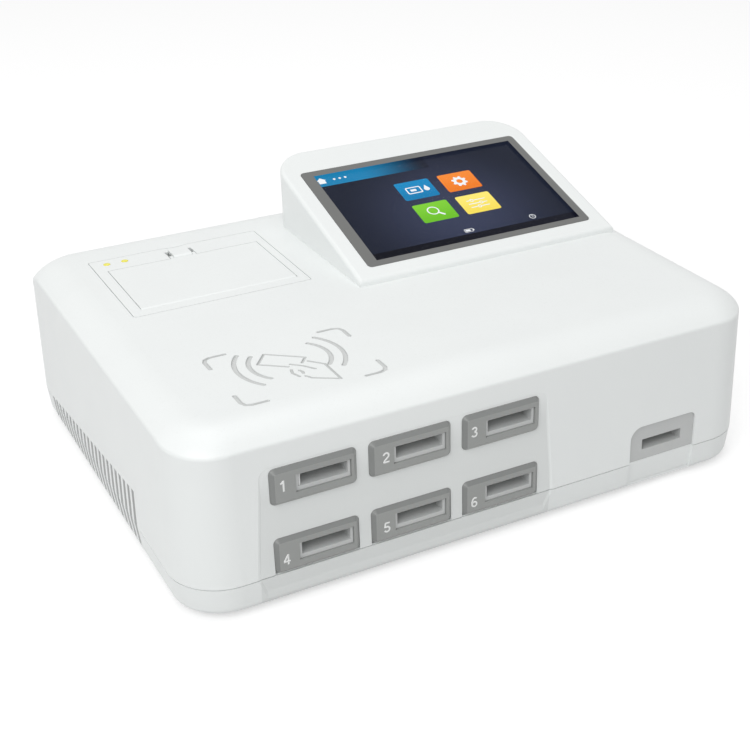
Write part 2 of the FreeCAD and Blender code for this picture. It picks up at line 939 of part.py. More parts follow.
flange_x0 = left_x + printer_from_left
flange_x1 = flange_x0 + printer_width
flange_y0 = front_y + printer_setback
flange_y1 = flange_y0 + printer_depth
flange_top = deck_z
flange_low = flange_top - flange_thick
skirt_z = deck_z - skirt_depth
open_x0 = flange_x0 + door_from_left
open_x1 = open_x0 + door_width
open_y0 = flange_y0 + door_from_front
open_y1 = open_y0 + door_depth
door_mid_x = (open_x0 + open_x1) / 2
door_rear = open_y1 - door_gap
hinge_y = open_y0 + door_gap + hinge_radius
hinge_z = flange_top - hinge_radius
latch_top = deck_z + latch_rise
latch_y = door_rear + door_gap + latch_radius
latch_z = latch_top - latch_radius
latch_side = latch_width / 2 + fit_gap
notch_half = latch_side + latch_ear + ear_gap
notch_turn_y = latch_y + ear_radius + notch_past_ear
notch_y1 = open_y1 + notch_depth
platen_y = open_y1 - platen_back
platen_z = deck_z - platen_drop
roll_y = open_y1 - platen_back - roll_back
roll_z = deck_z - roll_drop
ear_x = platen_length / 2 + ear_past_platen
platen_end_x = ear_x + shaft_past_ear
head_top = platen_z + head_above_platen
cheek_x = ear_x + cheek_past_ear
tray_hole_x = cheek_x + cheek_thick + door_gap
light_xs = (flange_x0 + light_from_left, flange_x0 + light_from_left + light_pitch)
light_y = flange_y1 - light_back
light_low = deck_z - light_length
skirt = (flange_x0 + flange_ledge, flange_x1 - flange_ledge,
         flange_y0 + flange_ledge, flange_y1 - flange_ledge)


def finger_scoop():
    centre = V(door_mid_x, notch_y1 - scoop_forward, deck_z + scoop_radius - scoop_depth)
    return Part.makeSphere(scoop_radius, centre)


def printer_seat():
    rebate = plan_plate(flange_x0 - seam_gap, flange_x1 + seam_gap, flange_y0 - seam_gap,
                        flange_y1 + seam_gap, flange_low, deck_z + past, flange_corner + seam_gap)
    x0, x1, y0, y1 = skirt
    grow = fit_gap / 2
    through = box(x0 - grow, x1 + grow, y0 - grow, y1 + grow, ceiling_z - past, deck_z + past)
    return [rebate, through, finger_scoop()]


def printer_flange():
    x0, x1, y0, y1 = skirt
    under = flange_low + overlap
    plate = plan_plate(flange_x0, flange_x1, flange_y0, flange_y1, flange_low, flange_top, flange_corner)
    block = box(x0, x1, y0, y1, skirt_z, under)
    opening = box(open_x0, open_x1, open_y0, open_y1, skirt_z + tray_thick, flange_top + past)
    rear_void = box(x0 + skirt_wall, x1 - skirt_wall, open_y1 - running_gap, y1 - skirt_wall,
                    skirt_z - past, flange_low)
    tray_hole = box(door_mid_x - tray_hole_x, door_mid_x + tray_hole_x,
                    roll_y - roll_radius - fit_gap, open_y1, skirt_z - past, skirt_z + tray_thick + past)
    body = join([plate, block]).cut([opening, rear_void, tray_hole])
    basin_z = deck_z - basin_depth
    basin = box(door_mid_x - notch_half - basin_wall, door_mid_x + notch_half + basin_wall,
                open_y1, notch_y1 + basin_wall, basin_z - basin_wall, under)
    post_half = head_post / 2
    posts = [box(door_mid_x + x - post_half, door_mid_x + x + post_half, open_y1 + post_half,
                 open_y1 + post_half + head_post, head_top, under) for x in (-head_post_x, head_post_x)]
    stem = rod_z(sum(light_xs) / 2, light_y, light_low, under, light_stem_radius)
    body = join([body, basin, stem] + posts)
    ear_notch = box(door_mid_x - notch_half, door_mid_x + notch_half, open_y1 - past, notch_turn_y,
                    basin_z, flange_top + past)
    tab_notch = box(door_mid_x - latch_width / 2 - door_gap, door_mid_x + latch_width / 2 + door_gap,
                    open_y1 - past, notch_y1, basin_z, flange_top + past)
    holes = [rod_z(x, light_y, flange_low - past, flange_top + past, light_radius + running_gap)
             for x in light_xs]
    holes += [rod_x(x - pin_in_flange, x + pin_in_flange, hinge_y, hinge_z, hinge_pin_radius)
              for x in (open_x0, open_x1)]
    return body.cut([ear_notch, tab_notch, finger_scoop()] + holes)


def printer_door():
    x0 = open_x0 + door_gap
    x1 = open_x1 - door_gap
    plate = box(x0, x1, hinge_y, door_rear, flange_top - door_thick, flange_top)
    body = [plate, rod_x(x0, x1, hinge_y, hinge_z, hinge_radius)]
    for side in (-1, 1):
        near = door_mid_x + side * ear_x
        far = near + side * door_ear
        body.append(box(min(near, far), max(near, far), platen_y - door_ear_half,
                        platen_y + door_ear_half, platen_z - door_ear_half, flange_top - overlap))
        near = door_mid_x + side * latch_side
        far = near + side * latch_ear
        body.append(box(min(near, far), max(near, far), door_rear - door_ear_half, latch_y,
                        latch_z - ear_radius, flange_top))
        body.append(rod_x(min(near, far), max(near, far), latch_y, latch_z, ear_radius))
    reach = latch_side + latch_ear
    body.append(rod_x(door_mid_x - reach, door_mid_x + reach, latch_y, latch_z, hinge_pin_radius))
    cuts = [rod_x(door_mid_x - platen_end_x, door_mid_x + platen_end_x, platen_y, platen_z,
                  platen_shaft_radius + running_gap)]
    depth = hinge_pin_length - pin_in_flange + door_play
    cuts.append(rod_x(x0 - past, open_x0 + depth, hinge_y, hinge_z, hinge_pin_radius + running_gap))
    cuts.append(rod_x(open_x1 - depth, x1 + past, hinge_y, hinge_z, hinge_pin_radius + running_gap))
    return join(body).cut(cuts)


def door_hinge_pins():
    inner = hinge_pin_length - pin_in_flange
    left = rod_x(open_x0 - pin_in_flange, open_x0 + inner, hinge_y, hinge_z, hinge_pin_radius)
    right = rod_x(open_x1 - inner, open_x1 + pin_in_flange, hinge_y, hinge_z, hinge_pin_radius)
    return Part.Compound([left, right])


def printer_latch():
    x0 = door_mid_x - latch_width / 2
    x1 = door_mid_x + latch_width / 2
    barrel = rod_x(x0, x1, latch_y, latch_z, latch_radius)
    tab = box(x0, x1, latch_y, latch_y + latch_reach, latch_top - latch_tab_thick, latch_top)
    lip = rod_x(x0, x1, latch_y + latch_reach, latch_top - latch_lip_drop, latch_lip_radius)
    lip = lip.cut(box(x0 - past, x1 + past, latch_y, latch_y + 2 * latch_reach, latch_top,
                      latch_top + latch_lip_radius))
    bore = rod_x(x0 - past, x1 + past, latch_y, latch_z, hinge_pin_radius + running_gap)
    return join([barrel, tab, lip]).cut(bore)


def platen_roller():
    half = platen_length / 2
    roller = rod_x(door_mid_x - half, door_mid_x + half, platen_y, platen_z, platen_radius)
    shaft = rod_x(door_mid_x - platen_end_x, door_mid_x + platen_end_x, platen_y, platen_z,
                  platen_shaft_radius)
    return join([roller, shaft])


def print_head():
    low = platen_z - head_below_platen
    rear = open_y1 + head_past_door
    body = box(door_mid_x - head_half, door_mid_x + head_half, platen_y + platen_radius + head_gap, rear,
               low, head_top)
    cuts = []
    for step in range(1, 3):
        z = low + step * head_fin_pitch - head_fin
        cuts.append(box(door_mid_x - head_half - past, door_mid_x + head_half + past,
                        rear - head_fin_inset, rear + head_fin_depth, z, z + head_fin))
    cheeks = []
    for side in (-1, 1):
        near = door_mid_x + side * cheek_x
        far = near + side * cheek_thick
        cheeks.append(box(min(near, far), max(near, far), platen_y - cheek_half, rear, low, head_top))
        cuts.append(box(min(near, far) - past, max(near, far) + past, platen_y - cheek_slot_half,
                        platen_y + cheek_slot_half, platen_z - cheek_slot_half, head_top + past))
    bridge = box(door_mid_x - cheek_x, door_mid_x + cheek_x, open_y1 + past,
                 open_y1 + past + cheek_bridge, low, low + 2 * head_fin_pitch)
    return join([body, bridge] + cheeks).cut(cuts)


def paper_bucket():
    half = roll_width / 2 + bucket_play
    outer = half + bucket_wall
    reach = roll_radius + fit_gap
    block = box(door_mid_x - outer, door_mid_x + outer, roll_y - reach - bucket_wall,
                roll_y + reach + bucket_wall, roll_z - reach - bucket_wall, skirt_z)
    rim_x = tray_hole_x + bucket_rim
    rim = box(door_mid_x - rim_x, door_mid_x + rim_x, roll_y - reach - bucket_rim,
              roll_y + reach + bucket_wall, skirt_z - tray_thick, skirt_z)
    trough = rod_x(door_mid_x - half, door_mid_x + half, roll_y, roll_z, reach)
    mouth = box(door_mid_x - half, door_mid_x + half, roll_y - reach, roll_y + reach, roll_z, skirt_z + past)
    return join([block, rim]).cut([trough, mouth])


def paper_roll():
    x0 = door_mid_x - roll_width / 2
    core = rod_x(x0 - past, x0 + roll_width + past, roll_y, roll_z, roll_core_radius)
    return rod_x(x0, x0 + roll_width, roll_y, roll_z, roll_radius).cut(core)


def status_lights():
    top = flange_top + light_proud
    lights = []
    for x in light_xs:
        pipe = rod_z(x, light_y, light_low, top, light_radius)
        rim = edges_at(pipe, lambda point: abs(point.z - top) < 1e-6)
        lights.append(pipe.makeFillet(light_dome, rim))
    return Part.Compound(lights)


def light_board():
    return box(light_xs[0] - light_board_margin, light_xs[1] + light_board_margin,
               light_y - light_radius, light_y + light_radius, light_low - board_thick, light_low)


# Boards, power supply, fan and rear connectors

reader_x0 = mid_x - reader_from_mid - reader_width / 2
reader_y0 = front_y + reader_setback
symbol_x = reader_x0 + reader_width / 2
symbol_y = reader_y0 + reader_depth / 2
main_x0 = frame_x1 + frame_thick + main_past_frame
main_y0 = front_y + main_setback
main_z = floor_z + standoff_height
supply_x1 = right_x - supply_from_right
supply_y1 = rear_y - supply_from_rear
rear_panel_x1 = right_x - rear_panel_from_right
rear_panel_x0 = rear_panel_x1 - rear_panel_width
rear_panel_z0 = shell_z + rear_panel_up
rear_panel_z1 = rear_panel_z0 + rear_panel_height
rear_panel_y = rear_y - wall - wall_slope * (rear_panel_z1 - part_z) - rear_pad
socket_z = (rear_panel_z0 + rear_panel_z1) / 2
inlet_x = rear_panel_x1 - inlet_from_edge
rocker_x = inlet_x - inlet_to_rocker
lan_x = rocker_x - rocker_to_lan
usb_x = lan_x - lan_to_usb
rocker_y = rear_panel_y - rocker_sink
fan_x = left_x + fan_from_left
fan_z = shell_z + fan_up + fan_size / 2
fan_y1 = rear_y - wall - wall_slope * (fan_z + fan_size / 2 - part_z) - rear_pad
fan_y0 = fan_y1 - fan_thick
case_posts = [(x, y) for x in (left_x + case_post_inset_x, right_x - case_post_inset_x)
              for y in (front_y + case_post_inset_y, rear_y - case_post_inset_y)]
feet_places = [(x, y) for x in (left_x + foot_inset, right_x - foot_inset)
               for y in (front_y + foot_inset, rear_y - foot_inset)]


def main_board():
    """Board with two chips, a terminal strip, a row of plugs and two tall parts by its right edge."""
    plate = plan_plate(main_x0, main_x0 + main_width, main_y0, main_y0 + main_depth, main_z,
                       main_z + board_thick, board_corner)
    parts = [box(main_x0 + a, main_x0 + a + w, main_y0 + b, main_y0 + b + d, main_z + overlap,
                 main_z + board_thick + h) for a, w, b, d, h in main_parts]
    return join([plate] + parts)


def standoffs():
    posts = []
    for x in (main_x0 + board_hole_edge, main_x0 + main_width - board_hole_edge):
        for y in (main_y0 + board_hole_edge, main_y0 + main_depth - board_hole_edge):
            posts.append(rod_z(x, y, floor_z - overlap, main_z, standoff_radius))
    return posts


def card_reader_board():
    z = ceiling_z - reader_drop - board_thick
    return plan_plate(reader_x0, reader_x0 + reader_width, reader_y0, reader_y0 + reader_depth,
                      z, z + board_thick, board_corner)


def reader_bosses():
    edge = board_hole_edge
    return [rod_z(reader_x0 + x, reader_y0 + y, ceiling_z - reader_drop, ceiling_z + overlap, standoff_radius)
            for x in (edge, reader_width - edge) for y in (edge, reader_depth - edge)]


def power_supply():
    """Bent sheet cage, open to the front, with cooling slots over a transformer and a capacitor block."""
    x0 = supply_x1 - supply_width
    y0 = supply_y1 - supply_depth
    top = floor_z + supply_height
    base = floor_z + supply_base
    cage = box(x0, supply_x1, y0, supply_y1, floor_z, top)
    hollow = box(x0 + supply_sheet, supply_x1 - supply_sheet, y0 - past, supply_y1 - supply_sheet, base,
                 top - supply_sheet)
    slots = []
    for step in range(supply_slots):
        x = x0 + supply_margin + supply_slot_pitch * step
        slots.append(box(x, x + supply_slot, y0 + supply_margin, supply_y1 - supply_margin,
                         top - supply_sheet - past, top + past))
    blocks = [box(x0 + a, x0 + a + w, y0 + b, y0 + b + d, base - overlap, base + h)
              for a, w, b, d, h in supply_parts]
    return join([cage.cut([hollow] + slots)] + blocks)


def rear_panel():
    plate = box(rear_panel_x0, rear_panel_x1, rear_panel_y - rear_panel_thick, rear_panel_y,
                rear_panel_z0, rear_panel_z1)
    gap = fit_gap / 2
    cuts = []
    for x, width, height in ((inlet_x, inlet_width, inlet_height), (rocker_x, switch_width, inlet_height),
                             (lan_x, lan_width, lan_height), (usb_x, usb_width, usb_height)):
        cuts.append(box(x - width / 2 - gap, x + width / 2 + gap, rear_panel_y - rear_panel_thick - past,
                        rear_panel_y + past, socket_z - height / 2 - gap, socket_z + height / 2 + gap))
    return plate.cut(cuts)


def connector(x, width, height, depth, proud, rim):
    shell = box(x - width / 2, x + width / 2, rear_panel_y - depth, rear_panel_y + proud,
                socket_z - height / 2, socket_z + height / 2)
    if rim:
        shell = join([shell, box(x - width / 2 - rim, x + width / 2 + rim, rear_panel_y,
                                 rear_panel_y + proud, socket_z - height / 2 - rim,
                                 socket_z + height / 2 + rim)])
    return shell


def power_inlet():
    shell = connector(inlet_x, inlet_width, inlet_height, inlet_depth, inlet_proud, inlet_rim)
    half_x = inlet_width / 2 - inlet_wall
    half_z = inlet_height / 2 - inlet_wall_high
    well = front_plate(inlet_x - half_x, inlet_x + half_x, socket_z - half_z, socket_z + half_z,
                       rear_panel_y - inlet_well, rear_panel_y + inlet_proud + past,
                       [well_corner, well_corner, well_slant, well_slant])
    blades = [box(inlet_x + x - blade_thick / 2, inlet_x + x + blade_thick / 2,
                  rear_panel_y - inlet_well - overlap, rear_panel_y - blade_sink,
                  socket_z + z - blade_thick, socket_z + z + blade_thick)
              for x, z in ((-blade_pitch, blade_low), (0, blade_high), (blade_pitch, blade_low))]
    return join([shell.cut(well)] + blades)


def switch_frame():
    shell = connector(rocker_x, switch_width, inlet_height, switch_depth, switch_proud, switch_rim)
    half_x = rocker_half_x + fit_gap + running_gap * 2
    half_z = inlet_height / 2 - switch_wall
    well = box(rocker_x - half_x, rocker_x + half_x, rear_panel_y - switch_depth + switch_floor,
               rear_panel_y + switch_proud + past, socket_z - half_z, socket_z + half_z)
    axle = rod_x(rocker_x - half_x - overlap, rocker_x + half_x + overlap, rocker_y, socket_z, rocker_axle)
    return join([shell.cut(well), axle])


def power_rocker():
    """Key with a shallow V face; it turns on the frame's axle and rests on one side."""
    low = rocker_y - rocker_below
    top = rocker_y + rocker_above
    corners = [(low, -rocker_foot), (low, rocker_foot), (top, rocker_tip), (top - rocker_valley, 0),
               (top, -rocker_tip)]
    points = [V(rocker_x - rocker_half_x, y, socket_z + z) for y, z in corners]
    key = Part.Face(Part.makePolygon(points + points[:1])).extrude(V(2 * rocker_half_x, 0, 0))
    key.rotate(V(rocker_x, rocker_y, socket_z), V(1, 0, 0), -rocker_rest)
    return key.cut(rod_x(rocker_x - rocker_half_x - past, rocker_x + rocker_half_x + past, rocker_y,
                         socket_z, rocker_axle + running_gap))


def lan_socket():
    shell = connector(lan_x, lan_width, lan_height, socket_depth, socket_proud, 0)
    y0 = rear_panel_y - socket_well
    y1 = rear_panel_y + socket_proud + past
    low = socket_z - lan_plug_low
    turn = low + lan_plug_height
    well = box(lan_x - lan_plug_half, lan_x + lan_plug_half, y0, y1, low, turn)
    notch = box(lan_x - lan_latch_half, lan_x + lan_latch_half, y0, y1, turn, turn + lan_latch_height)
    return shell.cut([well, notch])


def usb_socket():
    shell = connector(usb_x, usb_width, usb_height, socket_depth, socket_proud, 0)
    half_x = usb_width / 2 - usb_wall
    half_z = usb_height / 2 - usb_wall
    y0 = rear_panel_y - socket_well
    well = box(usb_x - half_x, usb_x + half_x, y0, rear_panel_y + socket_proud + past,
               socket_z - half_z, socket_z + half_z)
    tongue = box(usb_x - half_x + past, usb_x + half_x - past, y0 - overlap, rear_panel_y - usb_tongue_sink,
                 socket_z + usb_tongue_up, socket_z + usb_tongue_up + usb_tongue)
    return join([shell.cut(well), tongue])


def fan_frame():
    half = fan_size / 2
    plate = front_plate(fan_x - half, fan_x + half, fan_z - half, fan_z + half, fan_y0, fan_y1,
                        [fan_corner] * 4)
    body = plate.cut(rod_y(fan_x, fan_y0 - past, fan_y1 + past, fan_z, fan_blade_radius + fan_tip_gap))
    hub = rod_y(fan_x, fan_y0, fan_y0 + fan_plate, fan_z, fan_hub_radius)
    pin = rod_y(fan_x, fan_y0, fan_y1 - fan_pin_short, fan_z, fan_pin_radius)
    struts = []
    for step in range(4):
        strut = box(fan_x - fan_strut / 2, fan_x + fan_strut / 2, fan_y0, fan_y0 + fan_plate, fan_z,
                    fan_z + fan_blade_radius + fan_tip_gap + past)
        strut.rotate(V(fan_x, fan_y0, fan_z), V(0, 1, 0), 45 + 90 * step)
        struts.append(strut)
    return join([body, hub, pin] + struts)


def fan_rotor():
    y0 = fan_y0 + fan_plate + overlap
    y1 = fan_y1 - fan_rotor_short
    hub = rod_y(fan_x, y0, y1, fan_z, fan_hub_radius)
    half = fan_blade_thick / 2
    middle = V(fan_x, (y0 + y1) / 2, fan_z)
    blades = []
    for step in range(fan_blades):
        blade = box(fan_x - half, fan_x + half, y0 - fan_thick / 2, y1 + fan_thick / 2,
                    fan_z + fan_hub_radius - past, fan_z + fan_blade_radius)
        blade.rotate(middle, V(0, 0, 1), fan_blade_pitch)
        blade.rotate(middle, V(0, 1, 0), 360 * step / fan_blades)
        blades.append(blade.common(rod_y(fan_x, y0, y1, fan_z, fan_blade_radius)))
    bore = rod_y(fan_x, y0 - past, fan_y1 - fan_pin_short + overlap, fan_z, fan_pin_radius + running_gap)
    return join([hub] + blades).cut(bore)


def rubber_feet():
    return Part.Compound([rod_z(x, y, 0, shell_z + foot_recess, foot_radius) for x, y in feet_places])


def case_screws():
    screws = []
    for x, y in case_posts:
        head = rod_z(x, y, shell_z + case_head_sink, shell_z + case_bore, case_screw_head)
        stem = rod_z(x, y, shell_z + wall - past, part_z + case_screw_grip, case_screw_radius)
        screws.append(join([head, stem]))
    return Part.Compound(screws)


# Code chip port

chip_x0 = left_x + chip_left_x
chip_x1 = chip_x0 + chip_width
chip_top = part_z + chip_height
chip_y = front_y + chip_depth
chip_lip_y = front_y + wall + wall_slope * chip_height + running_gap * 2
chip_back_y = chip_y + chip_thick
chip_slot_x0 = chip_x0 + chip_slot_from_left
chip_slot_z0 = part_z + chip_slot_up
chip_radii = [chip_round_foot, chip_round_foot, chip_round_right, chip_round_left]


def chip_hole():
    return front_plate(chip_x0, chip_x1, part_z - 2 * past, chip_top, front_y - past, chip_lip_y + past,
                       chip_radii)


def chip_opening(grow, y0, y1):
    return box(chip_slot_x0 - grow, chip_slot_x0 + chip_slot_width + grow, y0, y1,
               chip_slot_z0 - grow, chip_slot_z0 + chip_slot_height + grow)


def chip_port():
    gap = fit_gap / 2
    face = front_plate(chip_x0 + gap, chip_x1 - gap, part_z + gap, chip_top - gap, chip_y, chip_back_y,
                       chip_radii)
    lip = front_plate(chip_x0 - chip_lip, chip_x1 + chip_lip, part_z + gap, chip_top + chip_lip,
                      chip_lip_y, chip_back_y, chip_radii)
    sleeve = chip_opening(chip_sleeve_wall, chip_back_y - overlap, chip_back_y + chip_sleeve)
    return join([face, lip, sleeve]).cut(chip_opening(0, front_y - past, chip_back_y + chip_sleeve + past))


def chip_socket():
    y0 = chip_back_y + chip_sleeve
    block = chip_opening(chip_sleeve_wall, y0, y0 + chip_socket_depth)
    middle = chip_slot_z0 + chip_slot_height / 2
    half = chip_socket_slit / 2
    return block.cut(box(chip_slot_x0 + chip_socket_rim, chip_slot_x0 + chip_slot_width - chip_socket_rim,
                         y0 - past, y0 + chip_socket_depth / 2, middle - half, middle + half))


# Housings

def vent_cuts():
    reach = wall + tongue_thick + fit_gap + 2 * past
    cuts = []
    for step in range(vent_count):
        y = front_y + vent_front_setback + step * vent_pitch
        top = vent_top_front + (vent_top_rear - vent_top_front) * step / (vent_count - 1)
        for side in (-1, 1):
            near = side * (body_width / 2 + past)
            far = side * (body_width / 2 - reach)
            cuts.append(box(min(near, far), max(near, far), y - vent_width / 2, y + vent_width / 2,
                            shell_z + vent_foot, shell_z + top))
    return cuts


def shifted(block, depth):
    copy = block.copy()
    copy.translate(V(0, depth, 0))
    return copy


def panel_recess(outside):
    """Shallow field round the bays; its edges slope, and its floor runs parallel to the wall."""
    rings = []
    for y in (front_y - past, front_y + panel_depth + past):
        grow = (front_y + panel_depth - y) * panel_flare
        corner = panel_corner + grow
        rings.append(rounded_wire(panel_x0 - grow, panel_x1 + grow, -part_z, panel_top + grow,
                                  [past, past, corner, corner], lambda a, b: V(a, y, b)))
    return Part.makeLoft(rings, True, True).cut(shifted(outside, panel_depth))


def groove(wire, line):
    """Sloped groove along a line: narrow at its floor, wide at the deck."""
    floor = wire.makeOffset2D((line - symbol_soft) / 2, 0, False, False)
    mouth = wire.makeOffset2D((line + symbol_soft) / 2, 0, False, False)
    mouth.translate(V(0, 0, symbol_cut + overlap / 10))
    return Part.makeLoft([floor, mouth], True, True)


def symbol_cuts():
    """Contactless card sign: corner brackets, two arcs a side, a card and the hand that holds it."""
    low = deck_z - symbol_cut
    centre_y = symbol_y - symbol_forward

    def bracket(sx, sy):
        x = symbol_x + sx * symbol_width / 2
        y = centre_y + sy * symbol_depth / 2
        soft = symbol_corner
        steps = [(symbol_arm, 0), (soft, 0), (soft * 0.3, soft * 0.3), (0, soft), (0, symbol_arm)]
        return Part.makePolygon([V(x - sx * a, y - sy * b, low) for a, b in steps])

    def arc(side, reach, radius, spread):
        middle_x = symbol_x + side * (reach - radius)
        points = []
        for angle in (-spread, 0, spread):
            turn = math.radians(angle)
            points.append(V(middle_x + side * radius * math.cos(turn),
                            centre_y + symbol_arc_back + radius * math.sin(turn), low))
        return Part.Wire([Part.Arc(*points).toShape()])

    def hand_line(points):
        turn = math.radians(card_turn)
        corner_x = symbol_x + card_corner_x
        corner_y = centre_y + card_corner_y
        return Part.makePolygon([V(corner_x - a * math.cos(turn) - b * math.sin(turn),
                                   corner_y + a * math.sin(turn) - b * math.cos(turn), low)
                                 for a, b in points])

    cuts = []
    for side in (-1, 1):
        cuts.append(groove(bracket(side, -1), symbol_line))
        cuts.append(groove(bracket(side, 1), symbol_line))
        for reach, radius, spread in symbol_arcs:
            cuts.append(groove(arc(side, reach, radius, spread), symbol_arc_line))
    card = [(0, 6.8), (0, 0), (card_length, 0), (card_length, card_height), (6.2, card_height)]
    thumb = [(5.8, 9.5), (-1.5, 10.2), (-8.5, 12.5)]
    back = [(-2.6, 4.2), (-12.3, 6.2), (-24.4, 21.5), (-9.3, 22.9), (-5.5, 21.3)]
    fingers = [(3.8, 15.6), (2.2, 19.4), (-2.4, 22.4)]
    crease = [(-0.5, 15.5), (-2.4, 16.6), (-3.5, 18.5)]
    for points in (card, thumb, back, fingers, crease):
        cuts.append(groove(hand_line(points), symbol_fine_line))
    return cuts


def upper_housing(outside):
    shell = outside.cut(upper_block(wall))
    inside = rear_y - wall + overlap / 2
    pad = box(panel_x0 - past, panel_x1 + past, front_y + wall - past, pad_y, part_z, panel_top + 2 * past)
    fan_half = fan_size / 2 + fan_tip_gap
    adds = [pad.common(outside)]
    adds.append(box(fan_x - fan_half, fan_x + fan_half, fan_y1, inside,
                    fan_z - fan_size / 2, fan_z + fan_half).common(outside))
    adds.append(box(rear_panel_x0 - past, rear_panel_x1 + past, rear_panel_y, inside,
                    rear_panel_z0 - past, rear_panel_z1 + past).common(outside))
    adds += reader_bosses()
    for x, y in case_posts:
        adds.append(rod_z(x, y, part_z, ceiling_z + overlap, case_post_radius).common(outside))
    shell = join([shell] + adds)
    cuts = [panel_recess(outside), chip_hole()]
    for number in bay_numbers:
        cuts += bay_hole(number)
    cuts += printer_seat() + vent_cuts() + symbol_cuts()
    x0, x1, y0, y1 = deck_window
    cuts.append(plan_plate(x0, x1, y0, y1, ceiling_z - past, deck_z + past, deck_window_corner))
    for step in range(-grille_half_count, grille_half_count + 1):
        z = fan_z + step * grille_pitch
        reach = math.sqrt(fan_blade_radius ** 2 - (step * grille_pitch) ** 2)
        cuts.append(box(fan_x - reach, fan_x + reach, fan_y1 - past, rear_y + past,
                        z - grille_slot / 2, z + grille_slot / 2))
    rim = rear_panel_rim
    cuts.append(front_plate(rear_panel_x0 + rim, rear_panel_x1 - rim, rear_panel_z0 + rim,
                            rear_panel_z1 - rim, rear_panel_y - past, rear_y + past, [rear_corner] * 4))
    for x, y in case_posts:
        cuts.append(rod_z(x, y, part_z - past, part_z + case_screw_grip + past,
                          case_screw_radius + running_gap))
    return shell.cut(cuts)


def plan_ring(out_inset, in_inset, z0, z1):
    outer = plan_plate(left_x + out_inset, right_x - out_inset, front_y + out_inset,
                       rear_y - out_inset, z0, z1, plan_radius - out_inset)
    return outer.cut(plan_plate(left_x + in_inset, right_x - in_inset, front_y + in_inset,
                                rear_y - in_inset, z0 - past, z1 + past, plan_radius - in_inset))


def seam_groove():
    """Fine shadow line along the joint; in the bay field it lies as deep behind the field's floor."""
    low = part_z - seam_height
    ring = plan_ring(-past, seam_depth, low, part_z + past)
    field = box(panel_x0, panel_x1, front_y - past, front_y + panel_depth + seam_depth, low, part_z + past)
    return ring.fuse(field)


def lower_housing():
    outside = lower_block(0)
    shell = outside.cut(lower_block(wall))
    inner = wall + fit_gap + tongue_thick
    root = plan_ring(wall - overlap, inner, part_z - tongue_height, part_z)
    tongue = plan_ring(wall + fit_gap, inner, part_z - overlap, part_z + tongue_height)
    tongue = tongue.cut(box(left_x, right_x, front_y, front_y + tongue_gap, part_z,
                            part_z + tongue_height + past))
    bosses = [rod_z(x, y, shell_z + past, part_z, case_post_radius) for x, y in case_posts]
    shell = join([shell, root, tongue] + bosses + standoffs())
    chip_field = box(chip_x0, chip_x1, front_y - past, front_y + wall + past, shell_z - past, part_z + past)
    cuts = vent_cuts() + [panel_recess(outside), chip_field.cut(shifted(outside, chip_depth)), seam_groove()]
    for x, y in case_posts:
        cuts.append(rod_z(x, y, shell_z - past, part_z + past, case_screw_radius + case_hole_gap))
        cuts.append(rod_z(x, y, shell_z - past, shell_z + case_bore, case_screw_head + case_hole_gap))
    cuts += [rod_z(x, y, shell_z - past, shell_z + foot_recess, foot_radius + case_hole_gap)
             for x, y in feet_places]
    return shell.cut(cuts)


def save(name, shape):
    for solid in shape.Solids:
        if not solid.isValid() or solid.Volume <= 0:
            raise ValueError(name + " has a bad solid")
    shape.exportStep("parts/" + name + ".step")
    box_size = shape.BoundBox
    print(name, len(shape.Solids), [round(v, 1) for v in (box_size.XMin, box_size.XMax, box_size.YMin,
                                                          box_size.YMax, box_size.ZMin, box_size.ZMax)])


os.makedirs("parts", exist_ok=True)
case_outside = upper_block(0)
save("lower_housing", lower_housing())
save("upper_housing", upper_housing(case_outside))
save("screen_hood", screen_hood(case_outside))
save("touch_glass", touch_glass())
save("lcd_module", lcd_module())
save("lcd_bracket", lcd_bracket())
save("display_board", display_board())
for number in bay_numbers:
    save("bay_bezel_" + str(number), bay_bezel(number))
    save("card_guide_" + str(number), card_guide(number))
save("cassette_springs", cassette_springs())
save("frame_plates", Part.Compound([frame_plate(frame_x0, -1), frame_plate(frame_x1, 1)]))
save("incubator_plates", Part.Compound([incubator_plate(row) for row in range(bay_rows)]))
save("cross_rails", cross_rails())
save("carriage", carriage())
save("belt_clamp", belt_clamp())
save("scan_rails", scan_rails())
save("scan_slide", scan_slide())
save("optical_heads", Part.Compound([optical_head(row) for row in range(bay_rows)]))
save("head_lenses", head_lenses())
save("lead_screw", lead_screw())
save("scan_motor", scan_motor())
save("drive_belt", drive_belt())
save("drive_pulley", drive_pulley())
save("idler_pulley", idler_pulley())
save("drive_motor", drive_motor())
save("belt_mounts", Part.Compound([motor_bracket(), idler_post()]))
save("printer_flange", printer_flange())
save("printer_door", printer_door())
save("door_hinge_pins", door_hinge_pins())
save("printer_latch", printer_latch())
save("platen_roller", platen_roller())
save("print_head", print_head())
save("paper_bucket", paper_bucket())
save("paper_roll", paper_roll())
save("status_lights", status_lights())
save("light_board", light_board())
save("card_reader_board", card_reader_board())
save("main_board", main_board())
save("power_supply", power_supply())
save("rear_panel", rear_panel())
save("power_inlet", power_inlet())
save("switch_frame", switch_frame())
save("power_rocker", power_rocker())
save("data_sockets", Part.Compound([lan_socket(), usb_socket()]))
save("fan_frame", fan_frame())
save("fan_rotor", fan_rotor())
save("chip_port", chip_port())
save("chip_socket", chip_socket())
save("rubber_feet", rubber_feet())
save("case_screws", case_screws())
